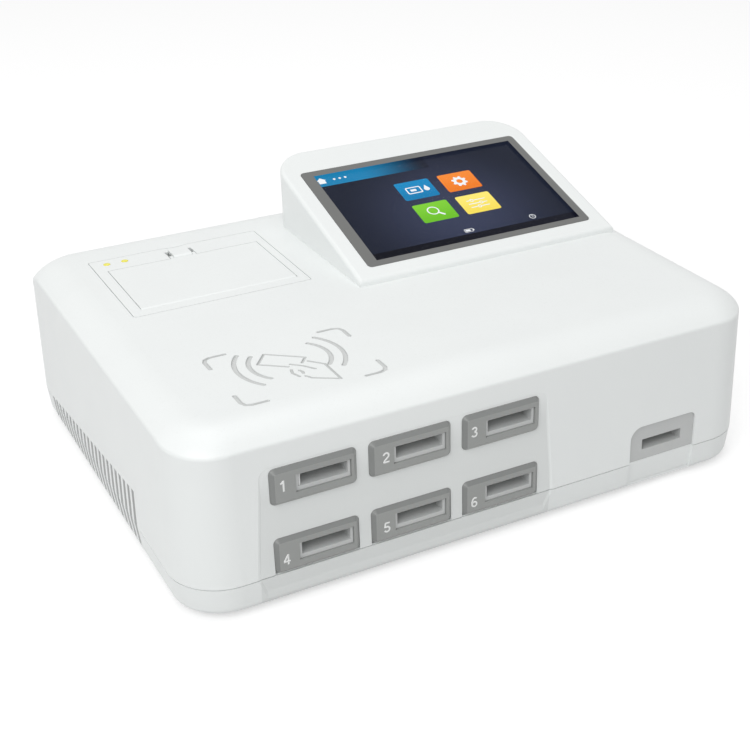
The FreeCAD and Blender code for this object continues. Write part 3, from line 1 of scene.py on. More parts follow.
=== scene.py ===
import math
import bmesh
import bpy
from mathutils import Matrix, Quaternion, Vector
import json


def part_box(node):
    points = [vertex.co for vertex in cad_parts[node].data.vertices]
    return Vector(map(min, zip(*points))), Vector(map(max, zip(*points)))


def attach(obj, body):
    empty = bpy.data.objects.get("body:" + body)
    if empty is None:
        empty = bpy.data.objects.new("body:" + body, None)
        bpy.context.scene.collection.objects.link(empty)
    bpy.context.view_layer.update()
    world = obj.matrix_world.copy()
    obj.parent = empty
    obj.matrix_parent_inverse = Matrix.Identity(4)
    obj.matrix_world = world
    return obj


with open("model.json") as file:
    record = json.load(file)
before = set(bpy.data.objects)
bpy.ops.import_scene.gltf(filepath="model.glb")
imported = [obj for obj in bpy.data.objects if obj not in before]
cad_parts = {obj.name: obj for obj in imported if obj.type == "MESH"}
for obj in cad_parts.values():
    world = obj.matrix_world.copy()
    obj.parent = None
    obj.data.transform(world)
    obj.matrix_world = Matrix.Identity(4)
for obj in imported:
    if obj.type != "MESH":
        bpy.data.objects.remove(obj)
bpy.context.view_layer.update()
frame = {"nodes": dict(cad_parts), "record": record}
nodes = frame["nodes"]
mm = 0.001    # one millimetre in metres
print("frame loaded:", len(nodes), "nodes")


# Objects: linked to the scene, and for camera and lamps turned towards a point
def newObject(name, data):
    made = bpy.data.objects.new(name, data)
    bpy.context.scene.collection.objects.link(made)
    return made


def aim(thing, place, target, roll=0.0):
    look = (Vector(target) - Vector(place)).to_track_quat("-Z", "Y")
    thing.rotation_mode = "QUATERNION"
    thing.rotation_quaternion = look @ Quaternion((0, 0, 1), math.radians(roll))
    thing.location = place


# Camera: stands left of the front corner and looks down on the deck
camera = {"place": (-0.3403, -0.6919, 0.4377), "target": (0.0492, 0.0360, 0.0030), "roll": -0.692,
          "sensor": 36.0, "lens": 65.44, "shift": (-0.0580, 0.0099), "clip": (0.02, 40.0)}


def makeCamera():
    data = bpy.data.cameras.new("camera")
    data.sensor_width = camera["sensor"]
    data.lens = camera["lens"]
    data.shift_x, data.shift_y = camera["shift"]
    data.clip_start, data.clip_end = camera["clip"]
    view = newObject("camera", data)
    aim(view, camera["place"], camera["target"], camera["roll"])
    bpy.context.scene.camera = view


makeCamera()
print("camera placed")


# Small helpers for shader nodes and colours
def tint(red, green, blue):
    # screen colour 0 to 255 as the linear colour a shader wants
    def linear(value):
        value = value / 255
        return value / 12.92 if value <= 0.04045 else ((value + 0.055) / 1.055) ** 2.4
    return (linear(red), linear(green), linear(blue), 1.0)


black, white = (0.0, 0.0, 0.0, 1.0), (1.0, 1.0, 1.0, 1.0)


def addNode(tree, kind, **values):
    node = tree.nodes.new(kind)
    for label, value in values.items():
        setattr(node, label, value)
    return node


def feed(tree, value, socket):
    # a number or a colour is set on the socket, an output is linked to it
    if isinstance(value, (int, float, tuple)):
        socket.default_value = value
    else:
        tree.links.new(value, socket)


def calc(tree, operation, first, second=0.0, clamp=False):
    node = addNode(tree, "ShaderNodeMath", operation=operation, use_clamp=clamp)
    feed(tree, first, node.inputs[0])
    feed(tree, second, node.inputs[1])
    return node.outputs[0]


def times(tree, first, second):
    return calc(tree, "MULTIPLY", first, second)


def mixColor(tree, factor, first, second):
    node = addNode(tree, "ShaderNodeMix", data_type="RGBA")
    for value, socket in ((factor, 0), (first, 6), (second, 7)):
        feed(tree, value, node.inputs[socket])
    return node.outputs[2]


def remap(tree, value, low, high, newLow=0.0, newHigh=1.0, smooth=False):
    node = addNode(tree, "ShaderNodeMapRange",
                   interpolation_type="SMOOTHSTEP" if smooth else "LINEAR")
    for number, socket in zip((value, low, high, newLow, newHigh), node.inputs):
        feed(tree, number, socket)
    return node.outputs[0]


def between(tree, share, ends):
    # a share from 0 to 1 as a number between two others
    return remap(tree, share, 0.0, 1.0, *ends)


def axes(tree, vector):
    # x, y and z of a vector
    node = addNode(tree, "ShaderNodeSeparateXYZ")
    tree.links.new(vector, node.inputs[0])
    return node.outputs


def normalAxes(tree):
    return axes(tree, addNode(tree, "ShaderNodeNewGeometry").outputs["Normal"])


def objectPoint(tree, location=(0, 0, 0), rotation=(0, 0, 0), scale=(1, 1, 1)):
    place = addNode(tree, "ShaderNodeTexCoord")
    move = addNode(tree, "ShaderNodeMapping", vector_type="POINT")
    tree.links.new(place.outputs["Object"], move.inputs[0])
    for socket, value in zip(move.inputs[1:4], (location, rotation, scale)):
        socket.default_value = value
    return move.outputs[0]


def noise(tree, vector, scale, detail=2.0, roughness=0.5):
    node = addNode(tree, "ShaderNodeTexNoise")
    for label, value in (("Vector", vector), ("Scale", scale), ("Detail", detail),
                         ("Roughness", roughness)):
        feed(tree, value, node.inputs[label])
    return node.outputs["Fac"]


def newGroup(name, inputs, outputs, kind="ShaderNodeTree"):
    # inputs are rows of label, socket type and, where it has one, the first value
    tree = bpy.data.node_groups.new(name, kind)
    for label, socketType, *value in inputs:
        socket = tree.interface.new_socket(label, in_out="INPUT",
                                           socket_type="NodeSocket" + socketType)
        if value:
            socket.default_value = value[0]
    for label, socketType in outputs:
        tree.interface.new_socket(label, in_out="OUTPUT", socket_type="NodeSocket" + socketType)
    return tree, tree.nodes.new("NodeGroupInput"), tree.nodes.new("NodeGroupOutput")


def useGroup(tree, group, **values):
    node = addNode(tree, "ShaderNodeGroup", node_tree=group)
    for label, value in values.items():
        node.inputs[label.replace("_", " ")].default_value = value
    return node


# Moulded plastic: slow drift of tone, fine spark-eroded grain, uneven gloss
grainLook = {"slowScale": 7.0, "slowEdge": (0.3, 0.7), "slowShare": 0.75, "middleScale": 55.0,
             "grainShare": 0.5, "bump": 0.35}


def makeMouldedGrain():
    tree, given, result = newGroup(
        "mouldedGrain",
        [("Color", "Color"), ("Shade", "Color"), ("Drift", "Float", 0.3),
         ("Roughness", "Float", 0.4), ("Gloss Drift", "Float", 0.05),
         ("Grain Size", "Float", 1600.0)],
        [("Color", "Color"), ("Roughness", "Float"), ("Height", "Float")])
    point = objectPoint(tree)
    slow = remap(tree, noise(tree, point, grainLook["slowScale"], 3.0), *grainLook["slowEdge"],
                 smooth=True)
    middle = noise(tree, point, grainLook["middleScale"], 3.0, 0.6)
    grain = noise(tree, point, given.outputs["Grain Size"], 1.0, 0.4)
    patchy = calc(tree, "ADD", times(tree, slow, grainLook["slowShare"]),
                  times(tree, middle, 1 - grainLook["slowShare"]))
    factor = times(tree, patchy, given.outputs["Drift"])
    color = mixColor(tree, factor, given.outputs["Color"], given.outputs["Shade"])
    share = grainLook["grainShare"]
    swing = calc(tree, "SUBTRACT", calc(tree, "ADD", middle, times(tree, grain, share)),
                 (1 + share) / 2)
    gloss = times(tree, swing, given.outputs["Gloss Drift"])
    rough = calc(tree, "ADD", given.outputs["Roughness"], gloss, True)
    tree.links.new(color, result.inputs["Color"])
    tree.links.new(rough, result.inputs["Roughness"])
    tree.links.new(grain, result.inputs["Height"])
    return tree


# Dust that settles on what faces up, thin and patchy
dustLook = {"upward": (0.3, 1.0), "patchScale": 18.0, "patchEdge": (0.42, 0.75),
            "patchShare": 0.5, "speckScale": 900.0, "speckEdge": (0.66, 0.78), "matt": 0.5}


def makeSettledDust():
    tree, given, result = newGroup("settledDust", [("Amount", "Float", 0.1)], [("Mask", "Float")])
    upward = remap(tree, normalAxes(tree)[2], *dustLook["upward"], smooth=True)
    point = objectPoint(tree)
    patches = remap(tree, noise(tree, point, dustLook["patchScale"], 4.0, 0.65),
                    *dustLook["patchEdge"], smooth=True)
    specks = remap(tree, noise(tree, point, dustLook["speckScale"], 0.0), *dustLook["speckEdge"])
    cover = calc(tree, "MAXIMUM", times(tree, patches, dustLook["patchShare"]), specks)
    amount = times(tree, times(tree, cover, upward), given.outputs["Amount"])
    tree.links.new(amount, result.inputs["Mask"])
    return tree


# Metal with fine drawn lines; a streak size is small along the way the lines are pulled
lineLook = {"lineShare": 0.6, "stainScale": 40.0, "roughShare": 0.18, "bump": 0.25,
            "depth": 0.02}


def makeDrawnLines():
    streaks = ("Streak X", "Streak Y", "Streak Z")
    tree, given, result = newGroup(
        "drawnLines",
        [("Color", "Color"), ("Shade", "Color"), ("Roughness", "Float", 0.3)] +
        [(label, "Float", size) for label, size in zip(streaks, (30.0, 900.0, 900.0))],
        [("Color", "Color"), ("Roughness", "Float"), ("Height", "Float")])
    point = objectPoint(tree)
    stretch = addNode(tree, "ShaderNodeVectorMath", operation="MULTIPLY")
    size = addNode(tree, "ShaderNodeCombineXYZ")
    for socket, label in zip(size.inputs, streaks):
        tree.links.new(given.outputs[label], socket)
    tree.links.new(point, stretch.inputs[0])
    tree.links.new(size.outputs[0], stretch.inputs[1])
    lines = noise(tree, stretch.outputs[0], 1.0, 2.0, 0.6)
    stains = noise(tree, point, lineLook["stainScale"], 3.0, 0.6)
    factor = calc(tree, "ADD", times(tree, lines, lineLook["lineShare"]),
                  times(tree, stains, 1 - lineLook["lineShare"]))
    color = mixColor(tree, factor, given.outputs["Color"], given.outputs["Shade"])
    rough = calc(tree, "ADD", given.outputs["Roughness"],
                 times(tree, lines, lineLook["roughShare"]), True)
    tree.links.new(color, result.inputs["Color"])
    tree.links.new(rough, result.inputs["Roughness"])
    tree.links.new(lines, result.inputs["Height"])
    return tree


mouldedGrain = makeMouldedGrain()
settledDust = makeSettledDust()
drawnLines = makeDrawnLines()


def newFinish(name, **values):
    # an empty material with its shader; values go on the shader's own sockets
    material = bpy.data.materials.new(name)
    material.use_nodes = True
    tree = material.node_tree
    tree.nodes.clear()
    output = tree.nodes.new("ShaderNodeOutputMaterial")
    shader = tree.nodes.new("ShaderNodeBsdfPrincipled")
    tree.links.new(shader.outputs[0], output.inputs[0])
    for label, value in values.items():
        shader.inputs[label.replace("_", " ")].default_value = value
    return material, tree, shader


def addBump(tree, shader, height, strength, distance):
    bump = addNode(tree, "ShaderNodeBump")
    for label, value in (("Strength", strength), ("Distance", distance), ("Height", height)):
        feed(tree, value, bump.inputs[label])
    tree.links.new(bump.outputs[0], shader.inputs["Normal"])


# A moulded plastic in one call: colour, how it drifts, gloss, grain and dust
def plastic(name, color, shade, drift, roughness, glossDrift, grainSize, grainDepth, dust,
            dustColor):
    material, tree, shader = newFinish(name)
    grain = useGroup(tree, mouldedGrain, Color=color, Shade=shade, Drift=drift,
                     Roughness=roughness, Gloss_Drift=glossDrift, Grain_Size=grainSize)
    settled = useGroup(tree, settledDust, Amount=dust).outputs[0]
    base = mixColor(tree, settled, grain.outputs["Color"], dustColor)
    rough = calc(tree, "ADD", grain.outputs["Roughness"],
                 times(tree, settled, dustLook["matt"]), True)
    tree.links.new(base, shader.inputs["Base Color"])
    tree.links.new(rough, shader.inputs["Roughness"])
    addBump(tree, shader, grain.outputs["Height"], grainLook["bump"], grainDepth)
    return material


def metal(name, color, shade, roughness, streaks):
    material, tree, shader = newFinish(name, Metallic=1.0)
    lines = useGroup(tree, drawnLines, Color=color, Shade=shade, Roughness=roughness,
                     Streak_X=streaks[0], Streak_Y=streaks[1], Streak_Z=streaks[2])
    tree.links.new(lines.outputs["Color"], shader.inputs["Base Color"])
    tree.links.new(lines.outputs["Roughness"], shader.inputs["Roughness"])
    addBump(tree, shader, lines.outputs["Height"], lineLook["bump"], lineLook["depth"] * mm)
    return material


def overpaint(material, layers):
    # lays colours over a finish: each layer is a function that makes its mask, and a colour
    tree = material.node_tree
    base = tree.nodes["Principled BSDF"].inputs["Base Color"]
    color = base.links[0].from_socket
    for mask, paint in layers:
        color = mixColor(tree, mask(tree), color, paint)
    tree.links.new(color, base)


def boxMask(tree, point, low, high, fade):
    # 1 inside a box whose faces fade over a short way
    mask = None
    for axis in range(3):
        rising = remap(tree, point[axis], low[axis] - fade, low[axis] + fade)
        falling = remap(tree, point[axis], high[axis] - fade, high[axis] + fade, 1.0, 0.0)
        for side in (rising, falling):
            mask = side if mask is None else times(tree, mask, side)
    return mask


# Painted shade: the sloped rims of the bezels that face up and left are painted darker than the
# flat face
paintedRimShade = {"color": tint(118, 120, 119), "slope": (0.35, 0.6), "amount": 0.75}


def rimShadeMask(tree):
    x, y, z = normalAxes(tree)
    low, high = paintedRimShade["slope"]
    side = remap(tree, calc(tree, "MAXIMUM", times(tree, x, -1.0), z), low, high)
    front = remap(tree, y, -high, -low, 1.0, 0.0)
    return times(tree, times(tree, side, front), paintedRimShade["amount"])


# Painted shade on the shell: it is painted a little darker in the field round the bays, in the
# grooves of the card sign and in the slits of the vents
paintedFieldShade = {"color": tint(222, 225, 224), "front": 1.15, "left": 8.4, "right": 8.9, "above": 6.0,
            "deep": 3.0, "fade": 0.3, "sunk": (0.1, 0.5), "wallSlope": 0.022, "joint": 21.2}
paintedGrooveShade = {"color": tint(204, 206, 205), "low": (-136.5, -122.2), "high": (-49.5, -57.0),
              "depth": (1.4, 0.3), "fade": 0.1}
paintedSlitShade = {"color": tint(214, 216, 215), "low": (-200.0, -70.0, 6.0),
            "high": (200.0, 107.0, 46.5), "fade": 0.3, "turned": (0.5, 0.7)}


def fieldShadeMask(tree):
    point = axes(tree, objectPoint(tree))
    first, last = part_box("bay_bezel_1"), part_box("bay_bezel_3")
    front = first[0].y + paintedFieldShade["front"] * mm
    low = (first[0].x - paintedFieldShade["left"] * mm, first[0].y, 0.0)
    high = (last[1].x + paintedFieldShade["right"] * mm, front + paintedFieldShade["deep"] * mm,
            first[1].z + paintedFieldShade["above"] * mm)
    mask = boxMask(tree, point, low, high, paintedFieldShade["fade"] * mm)
    slope = paintedFieldShade["wallSlope"]    # the field is what lies behind the leaning wall
    upright = calc(tree, "ADD", point[1], times(tree, point[2], -slope))
    wall = front - slope * paintedFieldShade["joint"] * mm
    start, end = paintedFieldShade["sunk"]
    return times(tree, mask, remap(tree, upright, wall + start * mm, wall + end * mm))


# painted shade on the floors of the card sign's grooves
def grooveShadeMask(tree):
    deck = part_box("printer_door")[1].z
    low, high = [[side * mm for side in paintedGrooveShade[end]] + [deck - depth * mm]
                 for end, depth in zip(("low", "high"), paintedGrooveShade["depth"])]
    return boxMask(tree, axes(tree, objectPoint(tree)), low, high, paintedGrooveShade["fade"] * mm)


# painted shade on the walls inside the vent slits
def slitShadeMask(tree):
    across = remap(tree, calc(tree, "ABSOLUTE", normalAxes(tree)[1]), *paintedSlitShade["turned"])
    low, high = [[side * mm for side in paintedSlitShade[end]] for end in ("low", "high")]
    vents = boxMask(tree, axes(tree, objectPoint(tree)), low, high, paintedSlitShade["fade"] * mm)
    return times(tree, vents, across)


shellPaint = {"color": tint(236, 239, 238), "shade": tint(230, 233, 233), "drift": 0.5,
              "roughness": 0.36, "glossDrift": 0.08, "grainSize": 1500.0,
              "grainDepth": 0.02 * mm, "dust": 0.10, "dustColor": tint(214, 214, 210)}
bezelPaint = {"color": tint(153, 155, 153), "shade": tint(144, 146, 145), "drift": 0.6,
              "roughness": 0.42, "glossDrift": 0.10, "grainSize": 1900.0,
              "grainDepth": 0.03 * mm, "dust": 0.10, "dustColor": tint(176, 176, 172)}
portPaint = {**bezelPaint, "color": tint(195, 197, 196), "shade": tint(186, 188, 188),
             "dustColor": tint(200, 200, 196)}
guidePaint = {"color": tint(200, 202, 201), "shade": tint(190, 192, 192), "drift": 0.6,
              "roughness": 0.5, "glossDrift": 0.12, "grainSize": 1400.0,
              "grainDepth": 0.03 * mm, "dust": 0.15, "dustColor": tint(150, 150, 146)}
blackPaint = {"color": tint(36, 37, 38), "shade": tint(48, 49, 50), "drift": 0.8,
              "roughness": 0.45, "glossDrift": 0.15, "grainSize": 1300.0,
              "grainDepth": 0.04 * mm, "dust": 0.2, "dustColor": tint(120, 119, 114)}
rubberPaint = {"color": tint(46, 46, 47), "shade": tint(60, 60, 60), "drift": 0.9,
               "roughness": 0.75, "glossDrift": 0.2, "grainSize": 700.0,
               "grainDepth": 0.06 * mm, "dust": 0.35, "dustColor": tint(132, 130, 124)}
beltPaint = {**rubberPaint, "color": tint(34, 34, 35), "grainSize": 2400.0}
# pale paint for the key in bay 1, a painted highlight
keyHighlightPaint = {**portPaint, "color": tint(226, 228, 227), "shade": tint(216, 218, 217),
            "dust": 0.04}

whiteShell = plastic("whiteShell", **shellPaint)
# the white shell gets its painted shade in the bay field, the sign grooves and the vent slits
overpaint(whiteShell, [(fieldShadeMask, paintedFieldShade["color"]), (grooveShadeMask, paintedGrooveShade["color"]),
                       (slitShadeMask, paintedSlitShade["color"])])
greyBezel = plastic("greyBezel", **bezelPaint)
# the bezels get the painted shade on their rims that face up and left
overpaint(greyBezel, [(rimShadeMask, paintedRimShade["color"])])


# Solder mask with copper tracks under it and small tinned pads
board = {"trackScale": 190.0, "trackJitter": 0.35, "trackEdge": (0.05, 0.08),
         "padScale": 260.0, "padJitter": 0.15, "padEdge": (0.13, 0.17),
         "groupScale": 60.0, "groupEdge": (0.5, 0.55), "cloudScale": 25.0, "cloud": 0.4,
         "mask": tint(24, 92, 56), "track": tint(38, 122, 74), "dark": tint(16, 70, 46),
         "pad": tint(206, 196, 168), "padHeight": 0.6, "bump": 0.5, "relief": 0.04,
         "roughness": (0.38, 0.24), "metallic": (0.0, 0.9)}


def cells(tree, point, feature, scale, jitter):
    node = addNode(tree, "ShaderNodeTexVoronoi", feature=feature)
    for label, value in (("Vector", point), ("Scale", scale), ("Randomness", jitter)):
        feed(tree, value, node.inputs[label])
    return node.outputs["Distance"]


def makeBoardFinish():
    material, tree, shader = newFinish("solderMask", Coat_Weight=0.5, Coat_Roughness=0.12)
    point = objectPoint(tree)
    toEdge = cells(tree, point, "DISTANCE_TO_EDGE", board["trackScale"], board["trackJitter"])
    track = remap(tree, toEdge, *board["trackEdge"], 1.0, 0.0)
    toCentre = cells(tree, point, "F1", board["padScale"], board["padJitter"])
    pad = remap(tree, toCentre, *board["padEdge"], 1.0, 0.0)
    grouped = remap(tree, noise(tree, point, board["groupScale"], 1.0), *board["groupEdge"])
    pad = times(tree, pad, grouped)
    cloud = times(tree, noise(tree, point, board["cloudScale"]), board["cloud"])
    green = mixColor(tree, track, board["mask"], board["track"])
    green = mixColor(tree, cloud, green, board["dark"])
    tree.links.new(mixColor(tree, pad, green, board["pad"]), shader.inputs["Base Color"])
    tree.links.new(between(tree, pad, board["roughness"]), shader.inputs["Roughness"])
    tree.links.new(between(tree, pad, board["metallic"]), shader.inputs["Metallic"])
    height = calc(tree, "ADD", track, times(tree, pad, board["padHeight"]))
    addBump(tree, shader, height, board["bump"], board["relief"] * mm)
    return material


# Coated lens: clear with a faint bloom
lens = {"color": tint(214, 226, 246), "shade": tint(232, 238, 250), "coat": tint(190, 205, 255),
        "bloomScale": 400.0, "roughness": (0.02, 0.07)}


def makeLensFinish():
    material, tree, shader = newFinish("coatedLens", Transmission_Weight=1.0, IOR=1.5,
                                       Coat_Weight=0.6, Coat_Tint=lens["coat"])
    bloom = noise(tree, objectPoint(tree), lens["bloomScale"])
    color = mixColor(tree, bloom, lens["color"], lens["shade"])
    tree.links.new(color, shader.inputs["Base Color"])
    tree.links.new(between(tree, bloom, lens["roughness"]), shader.inputs["Roughness"])
    return material


# Thermal paper: fibres, and on the ends of the roll the edges of its turns
paper = {"color": tint(236, 235, 230), "shade": tint(226, 225, 219), "edge": tint(196, 195, 189),
         "edgeShare": 0.5, "turnWave": 9000.0, "endFace": (0.7, 0.9), "fibreScale": 900.0,
         "fibreStretch": (1.0, 3.0, 3.0), "roughness": (0.5, 0.7), "bump": 0.4, "relief": 0.03}


def makePaperFinish():
    material, tree, shader = newFinish("thermalPaper", Sheen_Weight=0.15, Sheen_Roughness=0.6)
    low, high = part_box("paper_roll")
    centre = (low + high) / 2
    point = axes(tree, objectPoint(tree, location=tuple(-centre)))
    flat = addNode(tree, "ShaderNodeCombineXYZ")
    tree.links.new(point[1], flat.inputs[1])
    tree.links.new(point[2], flat.inputs[2])
    radius = addNode(tree, "ShaderNodeVectorMath", operation="LENGTH")
    tree.links.new(flat.outputs[0], radius.inputs[0])
    turns = calc(tree, "SINE", times(tree, radius.outputs["Value"], paper["turnWave"]))
    ends = remap(tree, calc(tree, "ABSOLUTE", normalAxes(tree)[0]), *paper["endFace"])
    edge = times(tree, remap(tree, turns, -1.0, 1.0), ends)
    fibre = noise(tree, objectPoint(tree, scale=paper["fibreStretch"]), paper["fibreScale"],
                  3.0, 0.7)
    color = mixColor(tree, fibre, paper["color"], paper["shade"])
    color = mixColor(tree, times(tree, edge, paper["edgeShare"]), color, paper["edge"])
    tree.links.new(color, shader.inputs["Base Color"])
    tree.links.new(between(tree, fibre, paper["roughness"]), shader.inputs["Roughness"])
    addBump(tree, shader, calc(tree, "ADD", fibre, edge), paper["bump"], paper["relief"] * mm)
    return material


# Light pipe: lit resin, brighter in the middle of its dome
lampResin = {"color": tint(214, 204, 8), "shade": tint(220, 212, 26),
             "rimGlow": tint(150, 150, 10), "glow": tint(240, 232, 40), "strength": 0.12,
             "dome": (0.2, 1.0), "cloudScale": 1200.0, "roughness": (0.18, 0.3)}


def makeLampFinish():
    material, tree, shader = newFinish("litResin", Coat_Weight=0.6, Coat_Roughness=0.1,
                                       Emission_Strength=lampResin["strength"])
    middle = remap(tree, normalAxes(tree)[2], *lampResin["dome"], smooth=True)
    cloud = noise(tree, objectPoint(tree), lampResin["cloudScale"])
    color = mixColor(tree, cloud, lampResin["color"], lampResin["shade"])
    glow = mixColor(tree, middle, lampResin["rimGlow"], lampResin["glow"])
    tree.links.new(color, shader.inputs["Base Color"])
    tree.links.new(glow, shader.inputs["Emission Color"])
    tree.links.new(between(tree, cloud, lampResin["roughness"]), shader.inputs["Roughness"])
    return material


# Hood face: where the glass lies and how it is tilted; what lies on it is drawn in its own x
# and y, in millimetres
hoodFace = {"tilt": 16.46, "origin": (75.0 * mm, -16.125 * mm, 111.9 * mm)}


def faceMatrix():
    turn = Matrix.Rotation(math.radians(hoodFace["tilt"]), 4, "X")
    return Matrix.Translation(Vector(hoodFace["origin"])) @ turn


def facePoint(tree):
    back = faceMatrix().inverted()
    return objectPoint(tree, location=back.to_translation(), rotation=back.to_euler("XYZ"))


# 1 inside a rectangle drawn on the hood face, 0 outside it
def makeFaceWindow():
    tree, given, result = newGroup(
        "faceWindow",
        [("Centre X", "Float", 0.0), ("Centre Y", "Float", 0.0), ("Half Width", "Float", 0.07),
         ("Half Length", "Float", 0.04), ("Soft Edge", "Float", 0.0001)],
        [("Mask", "Float")])
    point = axes(tree, facePoint(tree))
    sides = []
    for axis, centre, half in ((0, "Centre X", "Half Width"), (1, "Centre Y", "Half Length")):
        away = calc(tree, "SUBTRACT", point[axis], given.outputs[centre])
        away = calc(tree, "ABSOLUTE", away)
        sides.append(calc(tree, "SUBTRACT", away, given.outputs[half]))
    outside = calc(tree, "MAXIMUM", *sides)
    share = calc(tree, "DIVIDE", outside, given.outputs["Soft Edge"])
    tree.links.new(calc(tree, "SUBTRACT", 0.5, share, True), result.inputs["Mask"])
    return tree


faceWindow = makeFaceWindow()

# Cover glass, printed grey round its window; its back stays clear
glassPrint = {"centre": (1.0, 62.55), "window": (148.8, 93.7), "edge": 0.12, "under": -0.6,
              "border": tint(120, 121, 119), "borderShade": tint(114, 115, 114),
              "glass": tint(16, 18, 22), "alpha": (1.0, 0.02), "specular": 0.12,
              "smearScale": 30.0, "smearEdge": (0.3, 0.7), "roughness": (0.16, 0.26)}


def makeGlassFinish():
    material, tree, shader = newFinish("printedGlass",
                                       Specular_IOR_Level=glassPrint["specular"])
    (x, y), (width, length) = glassPrint["centre"], glassPrint["window"]
    window = useGroup(tree, faceWindow, Centre_X=x * mm, Centre_Y=y * mm,
                      Half_Width=width / 2 * mm, Half_Length=length / 2 * mm,
                      Soft_Edge=glassPrint["edge"] * mm)
    depth = axes(tree, facePoint(tree))[2]
    under = calc(tree, "LESS_THAN", depth, glassPrint["under"] * mm)
    clear = calc(tree, "MAXIMUM", window.outputs[0], under)
    smear = noise(tree, objectPoint(tree), glassPrint["smearScale"], 3.0, 0.6)
    rough = remap(tree, smear, *glassPrint["smearEdge"], *glassPrint["roughness"])
    ink = mixColor(tree, smear, glassPrint["border"], glassPrint["borderShade"])
    color = mixColor(tree, clear, ink, glassPrint["glass"])
    tree.links.new(color, shader.inputs["Base Color"])
    tree.links.new(rough, shader.inputs["Roughness"])
    tree.links.new(between(tree, clear, glassPrint["alpha"]), shader.inputs["Alpha"])
    return material


finishes = {
    "white_shell": whiteShell,
    "grey_bezel": greyBezel,
    "light_grey": plastic("lightGreyPort", **portPaint),
    "guide_plastic": plastic("guidePlastic", **guidePaint),
    "black_plastic": plastic("blackPlastic", **blackPaint),
    "rubber": plastic("softRubber", **rubberPaint),
    "belt_rubber": plastic("beltRubber", **beltPaint),
    "steel": metal("drawnSteel", tint(196, 198, 200), tint(168, 170, 173), 0.26, (30, 900, 900)),
    "aluminium": metal("satinAluminium", tint(206, 208, 210), tint(184, 186, 189), 0.34,
                       (900, 60, 900)),
    "spring_steel": metal("springSteel", tint(204, 205, 208), tint(176, 177, 181), 0.18,
                          (500, 40, 500)),
    "brass": metal("turnedBrass", tint(214, 186, 118), tint(182, 148, 84), 0.24,
                   (300, 2600, 300)),
    "plated": metal("brightPlating", tint(222, 223, 225), tint(198, 199, 202), 0.14,
                    (200, 200, 1200)),
    "display": metal("displayCan", tint(96, 98, 102), tint(78, 80, 84), 0.3, (30, 700, 700)),
    "board_green": makeBoardFinish(),
    "lens_glass": makeLensFinish(),
    "paper": makePaperFinish(),
    "lamp_green": makeLampFinish(),
    "glass_front": makeGlassFinish(),
}

for part in frame["record"]["subparts"]:
    mesh = nodes[part["node"]].data
    for index in range(len(mesh.materials)):
        mesh.materials[index] = finishes[part["material_slot"]]
print("finishes made:", len(finishes))


# Meshes, drawn in millimetres
def addPiece(name, mesh, body, materials=()):
    for material in materials:
        mesh.materials.append(material)
    piece = newObject(name, mesh)
    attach(piece, body)


def meshFrom(bm, name):
    bmesh.ops.scale(bm, vec=(mm, mm, mm), verts=bm.verts)
    bmesh.ops.recalc_face_normals(bm, faces=bm.faces)
    mesh = bpy.data.meshes.new(name)
    bm.to_mesh(mesh)
    bm.free()
    return mesh


def standUp(mesh, place):
    # turns what is drawn flat to face the front, and puts it in its place
    mesh.transform(Matrix.Translation(place) @ Matrix.Rotation(math.radians(90), 4, "X"))


def band(first, last):
    # the corners of the faces between two rings of as many points
    return [(first[i - 1], first[i], last[i], last[i - 1]) for i in range(len(first))]


def addPlate(bm, outline, low, high, index=0, hole=None):
    # closed slab over an outline that runs anticlockwise, or a ring between outline and hole
    def ring(points, z):
        return [bm.verts.new((x, y, z)) for x, y in points]
    top, bottom = ring(outline, high), ring(outline, low)
    faces = band(bottom, top)
    if hole is None:
        faces += [top, bottom[::-1]]
    else:
        inTop, inBottom = ring(hole, high), ring(hole, low)
        faces += band(inTop, inBottom) + band(top, inTop) + band(inBottom, bottom)
    for corners in faces:
        bm.faces.new(corners).material_index = index


def bow(x, y, wide, tall, start, end, steps=16):
    angles = [math.radians(start + (end - start) * i / steps) for i in range(steps + 1)]
    return [(x + wide * math.cos(a), y + tall * math.sin(a)) for a in angles]


def circle(x, y, radius, count=32):
    return bow(x, y, radius, radius, 0, 360, count)[:-1]


def roundedBox(x0, x1, y0, y1, radius, steps=6):
    points = []
    for x, y, start in ((x1 - radius, y0 + radius, -90), (x1 - radius, y1 - radius, 0),
                        (x0 + radius, y1 - radius, 90), (x0 + radius, y0 + radius, 180)):
        points += bow(x, y, radius, radius, start, start + 90, steps)
    return points


def turned(points, x, y, angle):
    c, s = math.cos(math.radians(angle)), math.sin(math.radians(angle))
    return [(x + a * c - b * s, y + a * s + b * c) for a, b in points]


